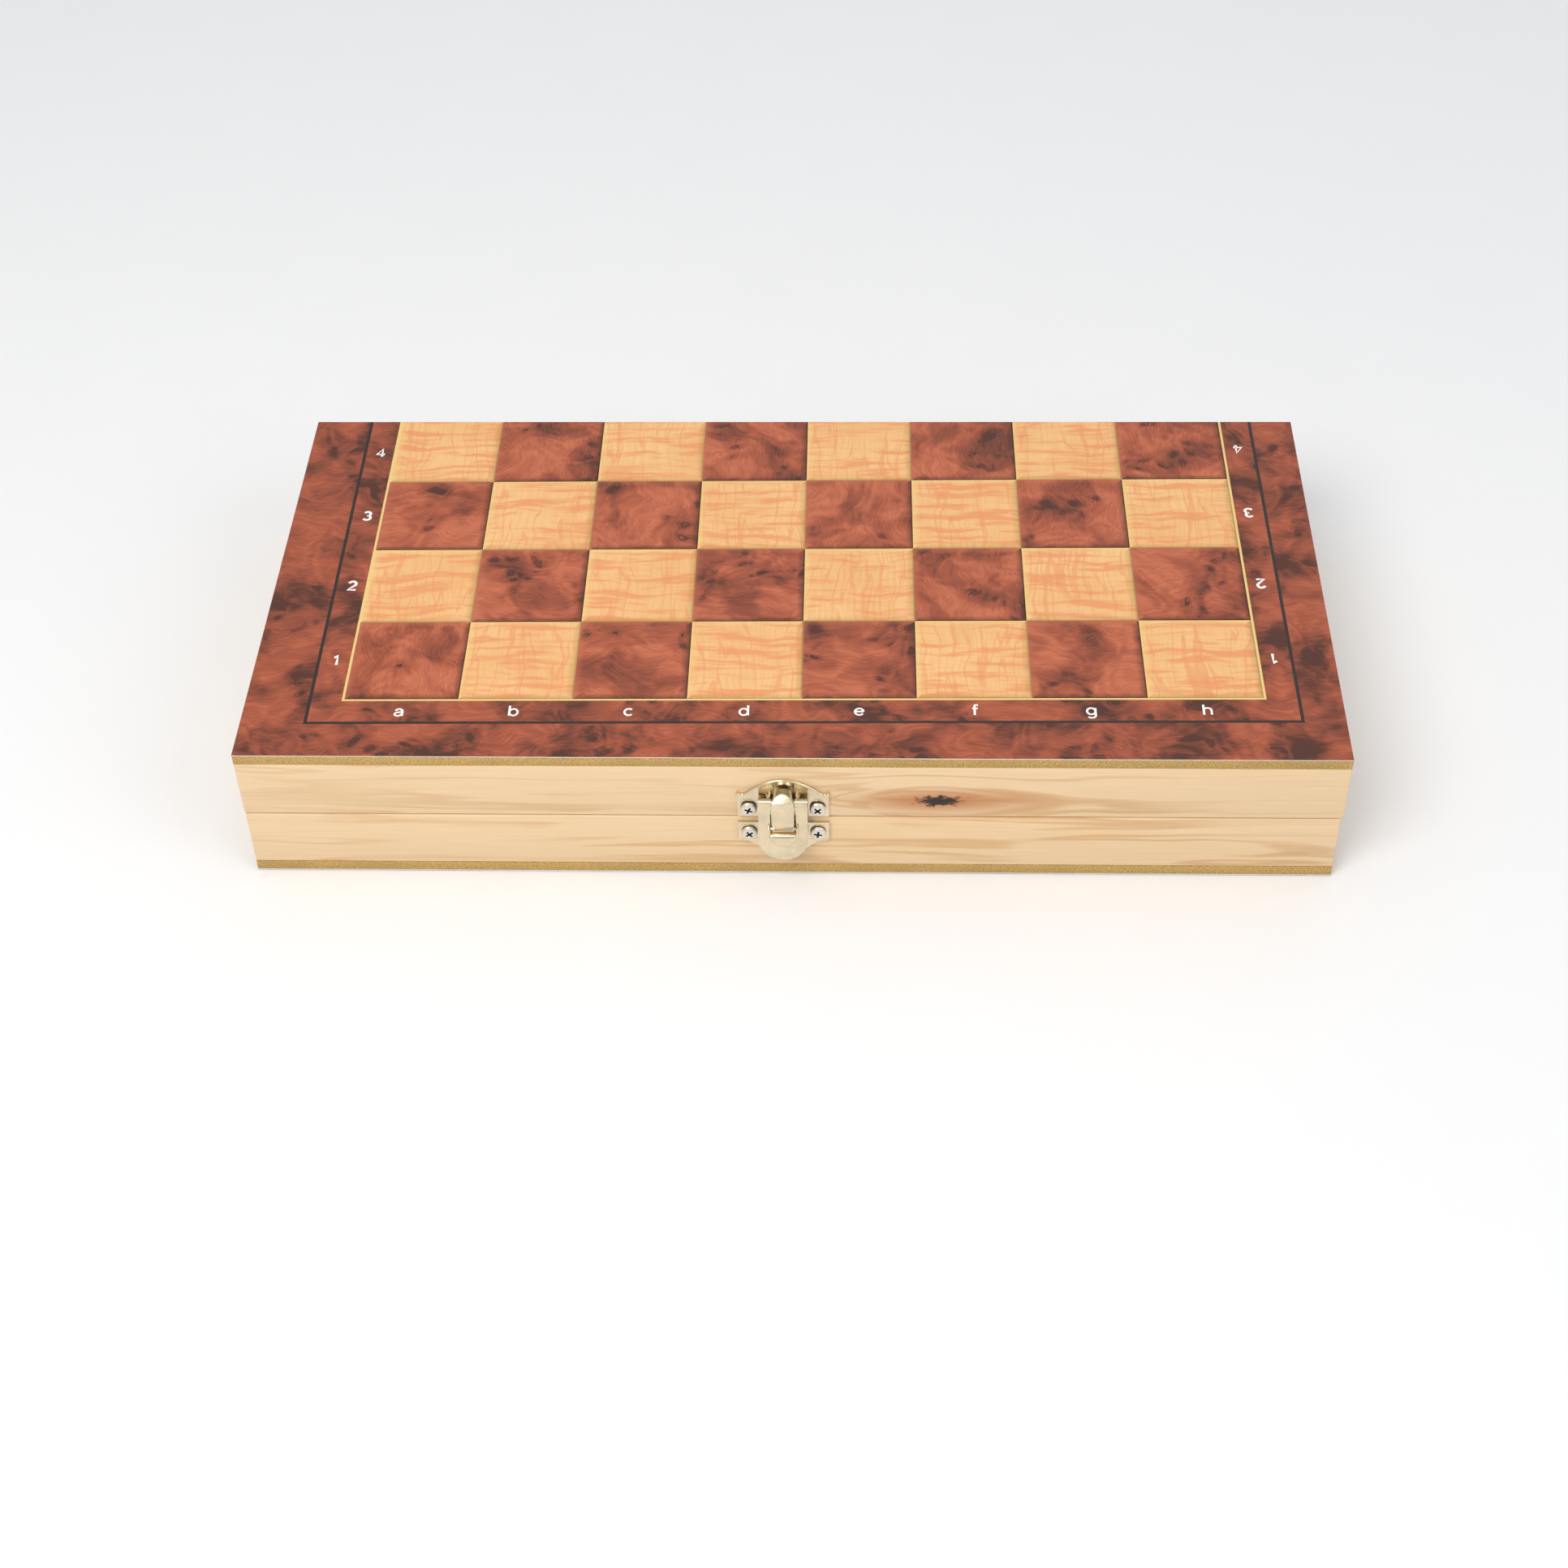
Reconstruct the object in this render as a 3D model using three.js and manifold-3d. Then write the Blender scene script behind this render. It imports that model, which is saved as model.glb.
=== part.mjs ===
// A folding wooden chess box. Two shallow halves are hinged along the back and held shut by a
// toggle latch at the front. Their outer panels carry the playing field, four rows on each half,
// so the box opens through half a turn into a square board. The chess men are stored inside.
// Units are millimetres. X runs along the box, Y from the latched front to the hinged back and
// Z up. The origin is the middle of the lower panel's underside.
import * as THREE from "three";
import { mergeVertices } from "three/addons/utils/BufferGeometryUtils.js";
import Module from "manifold-3d";

const wasm = await Module();
wasm.setup();

// ---- Driving dimensions: the box ----
const BOARD = 240; // side of the square board when the box is open
const BORDER = 19.4; // printed border round the playing field
const RAIL_HEIGHT = 14.75;
const RAIL_THICKNESS = 8;
const PANEL_THICKNESS = 2.45; // fibreboard
const SHEET_THICKNESS = 0.2; // printed sheet laminated on the panel
const GLUE_LINE = 0.05;
const PARTING_GAP = 0.3; // between the closed halves
const LOWER_SHORTER_BY = 0.6; // the lower half is cut this much shorter than the upper
const LOWER_SHIFT = -0.2; // and sits this far to the left of it

// ---- Driving dimensions: the hinges ----
const HINGE_SPACING = 150; // from hinge to hinge
const HINGE_LENGTH = 18;
const HINGE_LEAF_WIDTH = 6.5;
const LEAF_THICKNESS = 0.6;
const KNUCKLE_RADIUS = 1.25;
const HINGE_PIN_RADIUS = 0.55;
const HINGE_BORE_CLEARANCE = 0.15;
const HINGE_CLEARANCE = 0.3; // between the knuckles, and from them to the wood
const HINGE_SETBACK = 0.15; // from the back faces out to the pin's centre
const LEAF_HOLE_RADIUS = 0.7;
const LEAF_HOLE_SPACING = 10;
const SEAT_CLEARANCE = 0.05; // under a leaf in its recess

// ---- Driving dimensions: the latch, heights from the parting plane, depths from the front ----
const LATCH_SHIFT = -1.4; // the latch sits this far left of the middle
const LATCH_WIDTH = 20;
const LATCH_PLATE = 0.8; // sheet metal of the two plates
const LATCH_CLEARANCE = 0.3;
const STRIKE_BOTTOM = 0.6;
const STRIKE_SHOULDER = 8.2;
const STRIKE_TOP = 11.6;
const HOOD_CENTRE = 7.9;
const HOOD_OUTER = 3.0;
const HOOD_PROUD = 1.5;
const BASE_TOP = -1.1;
const BASE_EAR_BOTTOM = -6.9;
const BASE_BOTTOM = -9.5;
const BASE_BOTTOM_WIDTH = 9.2;
const RISER_WIDTH = 6.4;
const RISER_THICKNESS = 0.6;
const LEVER_WIDTH = 10.7;
const LEVER_THICKNESS = 0.7;
const LEVER_BOTTOM = -9.9;
const LEVER_PIN_HEIGHT = 6.3;
const LEVER_KNUCKLE_RADIUS = 0.95;
const LEVER_PIN_RADIUS = 0.45;
const LEVER_PLAY = 0.05; // from the knuckle's clearance to the strike plate
const LEVER_SETBACK = 0.1; // of the lever's front face behind the hook's pin
const HOOK_PIN_HEIGHT = -0.8;
const HOOK_PIN_FORWARD = 0.9; // of the hook's pin from the lever's pin
const HOOK_PIN_RADIUS = 0.4;
const HOOK_TAIL_RADIUS = 0.75;
const HOOK_WIDTH = 4.6;
const HOOK_METAL = 0.8;
const HOOK_FACE_FORWARD = 1.4; // of the raised face from the hook's pin
const HOOK_FACE_BOTTOM = 1.4;
const HOOK_FACE_TOP = 8.0;
const NOSE_FLAT = 0.1; // cut off the nose's round end
const HOOK_NOSE_SLOPE = 1.3; // depth over which the nose bends back from the face
const SLOT_CLEARANCE = 0.5; // beside the hook in the lever's slot
const HUMP_WALL = 0.55;
const HUMP_FORWARD = 1.25; // of the hump's face from the hook's pin
const HUMP_BOTTOM = -5.2;
const HUMP_MOUTH_DROP = 1.1; // of the hump's open mouth below the hook's pin
const PIN_BORE_CLEARANCE = 0.12;

// ---- Driving dimensions: the latch screws ----
const SCREW_HEAD_RADIUS = 1.8;
const SCREW_HEAD_HEIGHT = 0.9;
const SCREW_SHANK_RADIUS = 0.8;
const SCREW_LENGTH = 6;
const SCREW_CLEARANCE = 0.15;
const SCREW_SPACING = 15;
const STRIKE_SCREW_HEIGHT = 3.2;
const BASE_SCREW_HEIGHT = -4.1;

// ---- Driving dimensions: the men, as shares of a square's side ----
const MAN_GAP = 0.8; // between men, and from them to the rails
const FLOOR_CLEARANCE = 0.1;
const MAN_SIDES = 12;
const MEN = {
  king: { diameter: 0.7, height: 1.83 },
  queen: { diameter: 0.68, height: 1.66 },
  bishop: { diameter: 0.62, height: 1.43 },
  knight: { diameter: 0.62, height: 1.31 },
  rook: { diameter: 0.6, height: 1.15 },
  pawn: { diameter: 0.54, height: 0.95 },
};

// ---- Worked out from the driving dimensions ----
const SQUARE = (BOARD - 2 * BORDER) / 8;
const DEPTH = BOARD / 2;
const FRONT = -DEPTH / 2;
const BACK = DEPTH / 2;
const PANEL_BOTTOM = SHEET_THICKNESS + GLUE_LINE;
const FLOOR = PANEL_BOTTOM + PANEL_THICKNESS;
const RAIL_BOTTOM = FLOOR + GLUE_LINE;
const RAIL_TOP = RAIL_BOTTOM + RAIL_HEIGHT;
const PARTING = RAIL_TOP + PARTING_GAP / 2;
const HINGE_AXIS_Y = BACK + HINGE_SETBACK;
const ROUND_SIDES = 16;

// ---- Materials ----
const finish = (color, roughness, metalness) =>
  new THREE.MeshStandardMaterial({ color, roughness, metalness });
const PRINT = finish(0x9a4a33, 0.45, 0);
const FIBREBOARD = finish(0xb59a55, 0.9, 0);
const PINE = finish(0xecd2a0, 0.7, 0);
const NICKEL = finish(0xd8c69a, 0.22, 1);
const STEEL = finish(0xd9cfb4, 0.3, 1);
const PALE_WOOD = finish(0xe0bd83, 0.45, 0);
const DARK_WOOD = finish(0x4a2413, 0.4, 0);

// ---- Helpers: geometry in and out of manifold-3d ----
function solidOf(geometry) {
  const bare = geometry.index ? geometry.toNonIndexed() : geometry.clone();
  for (const name of Object.keys(bare.attributes)) {
    if (name !== "position") bare.deleteAttribute(name);
  }
  const merged = mergeVertices(bare, 1e-4);
  return new wasm.Manifold(
    new wasm.Mesh({
      numProp: 3,
      vertProperties: merged.attributes.position.array,
      triVerts: new Uint32Array(merged.index.array),
    }),
  );
}

function geometryOf(solid) {
  const mesh = solid.getMesh();
  const positions = new THREE.BufferAttribute(new Float32Array(mesh.vertProperties), 3);
  const geometry = new THREE.BufferGeometry().setAttribute("position", positions);
  geometry.setIndex(new THREE.BufferAttribute(new Uint32Array(mesh.triVerts), 1));
  geometry.computeVertexNormals();
  return geometry;
}

const joined = (...geometries) =>
  geometryOf(geometries.map(solidOf).reduce((all, next) => all.add(next)));
const cut = (geometry, ...tools) =>
  geometryOf(tools.map(solidOf).reduce((left, tool) => left.subtract(tool), solidOf(geometry)));
const common = (a, b) => geometryOf(solidOf(a).intersect(solidOf(b)));

function boxOf([x0, x1], [y0, y1], [z0, z1]) {
  const box = new THREE.BoxGeometry(x1 - x0, y1 - y0, z1 - z0);
  return box.translate((x0 + x1) / 2, (y0 + y1) / 2, (z0 + z1) / 2);
}

// A rod along X between two ends, centred on a point in the Y and Z plane.
function rodX(radius, [x0, x1], [y, z], sides = ROUND_SIDES) {
  const rod = new THREE.CylinderGeometry(radius, radius, x1 - x0, sides).rotateZ(Math.PI / 2);
  return rod.translate((x0 + x1) / 2, y, z);
}

// A rod along Y between two ends, centred on a point in the X and Z plane.
function rodY(radius, [y0, y1], [x, z], sides = ROUND_SIDES) {
  const rod = new THREE.CylinderGeometry(radius, radius, y1 - y0, sides);
  return rod.translate(x, (y0 + y1) / 2, z);
}

function outline(points) {
  return new THREE.Shape(points.map(([x, y]) => new THREE.Vector2(x, y)));
}

const root = new THREE.Group();
function addPart(name, geometry, material, group = root) {
  const mesh = new THREE.Mesh(geometry, material);
  mesh.name = name;
  group.add(mesh);
  return mesh;
}

// ---- The two wooden halves ----
// A half is built as the lower one, and the upper half's heights are mirrored about the parting.
const lowerSpan = [
  -(BOARD - LOWER_SHORTER_BY) / 2 + LOWER_SHIFT,
  (BOARD - LOWER_SHORTER_BY) / 2 + LOWER_SHIFT,
];
const upperSpan = [-BOARD / 2, BOARD / 2];
const mirrored = ([z0, z1]) => [2 * PARTING - z1, 2 * PARTING - z0];
const HINGE_PLACES = [-HINGE_SPACING / 2, HINGE_SPACING / 2];

const latchScrewPlaces = (height) => [
  [LATCH_SHIFT - SCREW_SPACING / 2, PARTING + height],
  [LATCH_SHIFT + SCREW_SPACING / 2, PARTING + height],
];

// The recesses that take a half's hinge leaves and clear the knuckles.
function hingeCuts(place) {
  const leaf = place([RAIL_TOP - LEAF_THICKNESS - SEAT_CLEARANCE, RAIL_TOP + PARTING_GAP / 4]);
  const reach = KNUCKLE_RADIUS + HINGE_CLEARANCE;
  const knuckle = place([PARTING - reach, RAIL_TOP + PARTING_GAP / 4]);
  return HINGE_PLACES.flatMap((x) => {
    const run = [x - HINGE_LENGTH / 2 - HINGE_CLEARANCE, x + HINGE_LENGTH / 2 + HINGE_CLEARANCE];
    return [
      boxOf(run, [BACK - HINGE_LEAF_WIDTH - HINGE_CLEARANCE, BACK + 1], leaf),
      boxOf(run, [HINGE_AXIS_Y - reach, BACK + 1], knuckle),
    ];
  });
}

function pilotHoles(height) {
  const radius = SCREW_SHANK_RADIUS + SCREW_CLEARANCE;
  const run = [FRONT - 1, FRONT + SCREW_LENGTH - LATCH_PLATE + LATCH_CLEARANCE];
  return latchScrewPlaces(height).map((place) => rodY(radius, run, place, 12));
}

function addHalf(prefix, [x0, x1], place, screwHeight) {
  const railZ = place([RAIL_BOTTOM, RAIL_TOP]);
  const inner = [x0 + RAIL_THICKNESS + GLUE_LINE, x1 - RAIL_THICKNESS - GLUE_LINE];
  const sideY = [FRONT + RAIL_THICKNESS + GLUE_LINE, BACK - RAIL_THICKNESS - GLUE_LINE];
  const whole = [FRONT, BACK];
  addPart(`${prefix}_printed_sheet`, boxOf([x0, x1], whole, place([0, SHEET_THICKNESS])), PRINT);
  addPart(`${prefix}_panel`, boxOf([x0, x1], whole, place([PANEL_BOTTOM, FLOOR])), FIBREBOARD);
  const front = boxOf([x0, x1], [FRONT, FRONT + RAIL_THICKNESS], railZ);
  addPart(`${prefix}_front_rail`, cut(front, ...pilotHoles(screwHeight)), PINE);
  const back = boxOf([x0, x1], [BACK - RAIL_THICKNESS, BACK], railZ);
  addPart(`${prefix}_back_rail`, cut(back, ...hingeCuts(place)), PINE);
  addPart(`${prefix}_left_rail`, boxOf([x0, inner[0] - GLUE_LINE], sideY, railZ), PINE);
  addPart(`${prefix}_right_rail`, boxOf([inner[1] + GLUE_LINE, x1], sideY, railZ), PINE);
}

addHalf("lower", lowerSpan, (z) => z, BASE_SCREW_HEIGHT);
addHalf("upper", upperSpan, mirrored, STRIKE_SCREW_HEIGHT);

// ---- The hinges: two leaves with rolled knuckles on a pin ----
const KNUCKLE_RUN = HINGE_LENGTH / 3;

function hingeLeaf(x, place, knuckleRuns) {
  const axis = [HINGE_AXIS_Y, PARTING];
  const leafZ = place([RAIL_TOP - LEAF_THICKNESS, RAIL_TOP]);
  const edge = HINGE_AXIS_Y - KNUCKLE_RADIUS - HINGE_CLEARANCE;
  const whole = [x - HINGE_LENGTH / 2, x + HINGE_LENGTH / 2];
  const plate = boxOf(whole, [BACK - HINGE_LEAF_WIDTH, edge], leafZ);
  const rolled = knuckleRuns.flatMap((run) => [
    boxOf(run, [edge - LEAF_THICKNESS, HINGE_AXIS_Y], leafZ),
    rodX(KNUCKLE_RADIUS, run, axis),
  ]);
  const bore = rodX(HINGE_PIN_RADIUS + HINGE_BORE_CLEARANCE, [whole[0] - 1, whole[1] + 1], axis);
  const holeY = BACK - HINGE_LEAF_WIDTH / 2 - KNUCKLE_RADIUS / 2;
  const holes = [-1, 1].map((side) => {
    const middle = (leafZ[0] + leafZ[1]) / 2;
    const hole = new THREE.CylinderGeometry(LEAF_HOLE_RADIUS, LEAF_HOLE_RADIUS, 2, 12);
    hole.rotateX(Math.PI / 2);
    return hole.translate(x + (side * LEAF_HOLE_SPACING) / 2, holeY, middle);
  });
  return cut(joined(plate, ...rolled), bore, ...holes);
}

HINGE_PLACES.forEach((x, index) => {
  const side = index === 0 ? "left" : "right";
  const half = KNUCKLE_RUN / 2 - HINGE_CLEARANCE / 2;
  const outer = [
    [x - HINGE_LENGTH / 2, x - KNUCKLE_RUN / 2 - HINGE_CLEARANCE / 2],
    [x + KNUCKLE_RUN / 2 + HINGE_CLEARANCE / 2, x + HINGE_LENGTH / 2],
  ];
  addPart(`${side}_hinge_lower_leaf`, hingeLeaf(x, (z) => z, outer), NICKEL);
  addPart(`${side}_hinge_upper_leaf`, hingeLeaf(x, mirrored, [[x - half, x + half]]), NICKEL);
  const run = [x - HINGE_LENGTH / 2, x + HINGE_LENGTH / 2];
  addPart(`${side}_hinge_pin`, rodX(HINGE_PIN_RADIUS, run, [HINGE_AXIS_Y, PARTING]), STEEL);
});

// ---- The latch ----
// Its flat pieces are drawn as seen from the front, and stand off the front face by a depth.
const latch = new THREE.Group();
latch.position.set(LATCH_SHIFT, FRONT, PARTING);
root.add(latch);

function standingPlate(shape, [near, far], curveSegments = 6) {
  const plate = new THREE.ExtrudeGeometry(shape, {
    depth: far - near,
    bevelEnabled: false,
    curveSegments,
  });
  return plate.rotateX(Math.PI / 2).translate(0, -near, 0);
}

const screwHoles = (height) =>
  [-1, 1].map((side) => {
    const radius = SCREW_SHANK_RADIUS + SCREW_CLEARANCE;
    return rodY(radius, [-2 * LATCH_PLATE, LATCH_PLATE], [(side * SCREW_SPACING) / 2, height], 12);
  });

function strikePlate() {
  const side = LATCH_WIDTH / 2;
  const shape = outline([
    [-side, STRIKE_BOTTOM],
    [side, STRIKE_BOTTOM],
    [side, STRIKE_SHOULDER],
  ]);
  shape.lineTo(side - 1.4, STRIKE_SHOULDER - 0.5);
  const crown = 2 * STRIKE_TOP - (STRIKE_SHOULDER - 0.5);
  shape.quadraticCurveTo(0, crown, -(side - 1.4), STRIKE_SHOULDER - 0.5);
  shape.lineTo(-side, STRIKE_SHOULDER);
  const plate = standingPlate(shape, [0, LATCH_PLATE], 12);
  const hood = new THREE.Shape().absarc(0, HOOD_CENTRE, HOOD_OUTER, 0, Math.PI);
  hood.absarc(0, HOOD_CENTRE, HOOK_WIDTH / 2 + LATCH_CLEARANCE, Math.PI, 0, true);
  const arch = standingPlate(hood, [LATCH_PLATE / 2, LATCH_PLATE + HOOD_PROUD], 10);
  return cut(joined(plate, arch), ...screwHoles(STRIKE_SCREW_HEIGHT));
}

const leverPinDepth = LATCH_PLATE + LATCH_CLEARANCE + LEVER_KNUCKLE_RADIUS + LEVER_PLAY;
const hookPinDepth = leverPinDepth + HOOK_PIN_FORWARD;
const hookFaceDepth = hookPinDepth + HOOK_FACE_FORWARD;
const innerKnuckle = HOOK_WIDTH / 2;

function basePlate() {
  const side = LATCH_WIDTH / 2;
  const bottom = BASE_BOTTOM_WIDTH / 2;
  const shape = outline([
    [-side, BASE_TOP],
    [-side, BASE_EAR_BOTTOM],
    [-bottom, BASE_BOTTOM],
    [bottom, BASE_BOTTOM],
    [side, BASE_EAR_BOTTOM],
    [side, BASE_TOP],
  ]);
  const plate = standingPlate(shape, [0, LATCH_PLATE]);
  const riserNear = LATCH_PLATE + LATCH_CLEARANCE;
  const riserFar = riserNear + RISER_THICKNESS;
  const across = [-RISER_WIDTH / 2, RISER_WIDTH / 2];
  const kneeBottom = BASE_TOP - 2 * LATCH_PLATE;
  const knee = boxOf(across, [-riserFar, 0], [kneeBottom, BASE_TOP]);
  const riser = boxOf(across, [-riserFar, -riserNear], [kneeBottom, LEVER_PIN_HEIGHT]);
  const neck = [-(innerKnuckle - LATCH_CLEARANCE / 2), innerKnuckle - LATCH_CLEARANCE / 2];
  const neckPlate = boxOf(neck, [-riserFar, -riserNear], [kneeBottom, LEVER_PIN_HEIGHT]);
  const axis = [-leverPinDepth, LEVER_PIN_HEIGHT];
  const knuckle = rodX(LEVER_KNUCKLE_RADIUS, neck, axis);
  const bore = rodX(LEVER_PIN_RADIUS + PIN_BORE_CLEARANCE, [-side, side], axis);
  const arms = [-1, 1].map((hand) => {
    // Clears the lever's own knuckles, which stand beside this plate's knuckle.
    const inner = hand * (innerKnuckle - LATCH_CLEARANCE / 2);
    const outer = hand * side;
    const reach = LEVER_KNUCKLE_RADIUS + LATCH_CLEARANCE;
    return boxOf(
      [Math.min(inner, outer), Math.max(inner, outer)],
      [-leverPinDepth - reach, -leverPinDepth + reach],
      [LEVER_PIN_HEIGHT - reach, LEVER_PIN_HEIGHT + reach],
    );
  });
  const whole = cut(joined(plate, knee, riser, neckPlate, knuckle), bore, ...arms);
  return cut(whole, ...screwHoles(BASE_SCREW_HEIGHT));
}

function leverPlate() {
  const side = LEVER_WIDTH / 2;
  const shape = new THREE.Shape().moveTo(side, LEVER_PIN_HEIGHT);
  shape.lineTo(-side, LEVER_PIN_HEIGHT);
  shape.lineTo(-side, LEVER_BOTTOM + side);
  shape.absarc(0, LEVER_BOTTOM + side, side, Math.PI, 2 * Math.PI);
  const front = hookPinDepth - LEVER_SETBACK;
  const plate = standingPlate(shape, [front - LEVER_THICKNESS, front], 12);
  const axis = [-leverPinDepth, LEVER_PIN_HEIGHT];
  const knuckles = [-1, 1].map((hand) => {
    const ends = [hand * innerKnuckle, hand * side].sort((a, b) => a - b);
    return rodX(LEVER_KNUCKLE_RADIUS, ends, axis);
  });
  // The slot lets the hook through, and is open at the top where the base's knuckle stands.
  const slotSide = HOOK_WIDTH / 2 + SLOT_CLEARANCE;
  const past = 2 * hookFaceDepth;
  const slotTop = LEVER_PIN_HEIGHT - 1.5 * LEVER_KNUCKLE_RADIUS;
  const slot = boxOf([-slotSide, slotSide], [-past, 0], [HOOK_PIN_HEIGHT, slotTop]);
  const mouth = boxOf(
    [-innerKnuckle, innerKnuckle],
    [-past, 0],
    [HOOK_PIN_HEIGHT, LEVER_PIN_HEIGHT + 2 * LEVER_KNUCKLE_RADIUS],
  );
  const bodied = cut(joined(plate, ...knuckles), slot, mouth);
  // The hump houses the hook's pin between two cheeks.
  const humpSide = slotSide + HUMP_WALL;
  const hump = new THREE.Shape().moveTo(humpSide, HOOK_PIN_HEIGHT + HOOK_TAIL_RADIUS);
  hump.lineTo(-humpSide, HOOK_PIN_HEIGHT + HOOK_TAIL_RADIUS);
  hump.lineTo(-humpSide, HUMP_BOTTOM + humpSide);
  hump.absarc(0, HUMP_BOTTOM + humpSide, humpSide, Math.PI, 2 * Math.PI);
  const humpDepth = hookPinDepth + HUMP_FORWARD;
  const shell = standingPlate(hump, [front - LEVER_THICKNESS, humpDepth], 8);
  const mouthBottom = HOOK_PIN_HEIGHT - HUMP_MOUTH_DROP;
  const opening = boxOf([-slotSide, slotSide], [-past, 0], [mouthBottom, slotTop]);
  const pinAxis = [-hookPinDepth, HOOK_PIN_HEIGHT];
  const pinBore = rodX(HOOK_PIN_RADIUS + PIN_BORE_CLEARANCE, [-humpSide - 1, humpSide + 1], pinAxis);
  const leverBore = rodX(LEVER_PIN_RADIUS + PIN_BORE_CLEARANCE, [-side - 1, side + 1], axis);
  return cut(joined(bodied, shell), opening, pinBore, leverBore);
}

// The hook's section across its width: a tail on its pin, a raised face and a nose that hooks in.
function hookStrip() {
  const noseNear = LATCH_PLATE + LATCH_CLEARANCE;
  const noseTop = HOOD_CENTRE + HOOK_WIDTH / 2 - NOSE_FLAT;
  const faceInner = hookFaceDepth - HOOK_METAL;
  const section = outline([
    [hookPinDepth + HOOK_METAL / 2, HOOK_PIN_HEIGHT],
    [hookFaceDepth, HOOK_FACE_BOTTOM],
    [hookFaceDepth, HOOK_FACE_TOP],
    [hookFaceDepth - HOOK_NOSE_SLOPE, noseTop - HOOK_METAL / 2],
    [noseNear, noseTop],
    [noseNear, noseTop - HOOK_METAL],
    [faceInner - HOOK_NOSE_SLOPE, noseTop - 1.4 * HOOK_METAL],
    [faceInner, HOOK_FACE_TOP - HOOK_METAL / 2],
    [faceInner, HOOK_FACE_BOTTOM],
    [hookPinDepth - HOOK_METAL / 2, HOOK_PIN_HEIGHT],
  ]);
  const half = HOOK_WIDTH / 2;
  const strip = new THREE.ExtrudeGeometry(section, { depth: HOOK_WIDTH, bevelEnabled: false });
  // The section is drawn with its depth along X: turn that to point out of the front face.
  strip.rotateX(Math.PI / 2).rotateZ(-Math.PI / 2);
  strip.translate(half, 0, 0);
  const round = new THREE.Shape().moveTo(half, HOOK_PIN_HEIGHT - 2);
  round.lineTo(half, HOOD_CENTRE);
  round.absarc(0, HOOD_CENTRE, half, 0, Math.PI);
  round.lineTo(-half, HOOK_PIN_HEIGHT - 2);
  const rounded = common(strip, standingPlate(round, [0, hookFaceDepth + 1], 8));
  const axis = [-hookPinDepth, HOOK_PIN_HEIGHT];
  const tail = rodX(HOOK_TAIL_RADIUS, [-half, half], axis);
  const bore = rodX(HOOK_PIN_RADIUS + PIN_BORE_CLEARANCE, [-half - 1, half + 1], axis);
  return cut(joined(rounded, tail), bore);
}

addPart("latch_strike_plate", strikePlate(), NICKEL, latch);
addPart("latch_base_plate", basePlate(), NICKEL, latch);
addPart("latch_lever", leverPlate(), NICKEL, latch);
addPart("latch_hook", hookStrip(), NICKEL, latch);
const leverPinEnds = [-LEVER_WIDTH / 2, LEVER_WIDTH / 2];
const leverPin = rodX(LEVER_PIN_RADIUS, leverPinEnds, [-leverPinDepth, LEVER_PIN_HEIGHT]);
addPart("latch_lever_pin", leverPin, STEEL, latch);
const hookPinEnd = HOOK_WIDTH / 2 + SLOT_CLEARANCE + HUMP_WALL;
const hookPin = rodX(HOOK_PIN_RADIUS, [-hookPinEnd, hookPinEnd], [-hookPinDepth, HOOK_PIN_HEIGHT]);
addPart("latch_hook_pin", hookPin, STEEL, latch);

// A pan-head wood screw that points into the rail, with its head on the plate.
function screw() {
  const profile = [
    [0, -SCREW_LENGTH],
    [SCREW_SHANK_RADIUS, -SCREW_LENGTH + 1.5],
    [SCREW_SHANK_RADIUS, 0],
    [SCREW_HEAD_RADIUS, 0],
    [SCREW_HEAD_RADIUS, 0.3 * SCREW_HEAD_HEIGHT],
    [0.6 * SCREW_HEAD_RADIUS, 0.85 * SCREW_HEAD_HEIGHT],
    [0, SCREW_HEAD_HEIGHT],
  ].map(([r, y]) => new THREE.Vector2(r, y));
  return new THREE.LatheGeometry(profile, 12).rotateX(Math.PI);
}

for (const [plate, height] of [
  ["strike", STRIKE_SCREW_HEIGHT],
  ["base", BASE_SCREW_HEIGHT],
]) {
  for (const [hand, side] of [
    ["left", -1],
    ["right", 1],
  ]) {
    const mesh = addPart(`latch_${plate}_screw_${hand}`, screw(), STEEL, latch);
    mesh.position.set((side * SCREW_SPACING) / 2, -LATCH_PLATE - SEAT_CLEARANCE, height);
  }
}

// ---- The chess men ----
// A turned profile is given as shares of the base radius and of the height, from foot to top.
const FOOT = [
  [0, 0],
  [0.92, 0],
  [1, 0.05],
  [0.86, 0.14],
];
const PROFILES = {
  pawn: [...FOOT, [0.45, 0.3], [0.34, 0.54], [0.62, 0.6], [0.4, 0.66], [0.56, 0.82], [0.3, 0.97], [0, 1]],
  rook: [...FOOT, [0.56, 0.28], [0.5, 0.64], [0.76, 0.7], [0.7, 1], [0, 1]],
  knight: [...FOOT, [0.62, 0.2], [0.66, 0.28], [0, 0.28]],
  bishop: [...FOOT, [0.42, 0.28], [0.3, 0.58], [0.62, 0.63], [0.36, 0.68], [0.48, 0.8], [0.14, 0.95], [0, 1]],
  queen: [...FOOT, [0.44, 0.26], [0.32, 0.62], [0.64, 0.67], [0.4, 0.72], [0.62, 0.93], [0.2, 0.95], [0, 1]],
  king: [...FOOT, [0.44, 0.25], [0.34, 0.58], [0.66, 0.63], [0.4, 0.68], [0.58, 0.86], [0.16, 0.9], [0.14, 1], [0, 1]],
};
// The horse's head seen from the side, across and up as shares of the same two sizes.
const HORSE = [
  [-0.66, 0.26],
  [0.66, 0.26],
  [0.34, 0.5],
  [0.8, 0.56],
  [0.92, 0.68],
  [0.42, 0.9],
  [0.2, 1],
  [-0.3, 0.94],
  [-0.66, 0.7],
  [-0.5, 0.45],
];
const HORSE_THICKNESS = 0.4; // as a share of the base radius, each way from the middle

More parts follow.
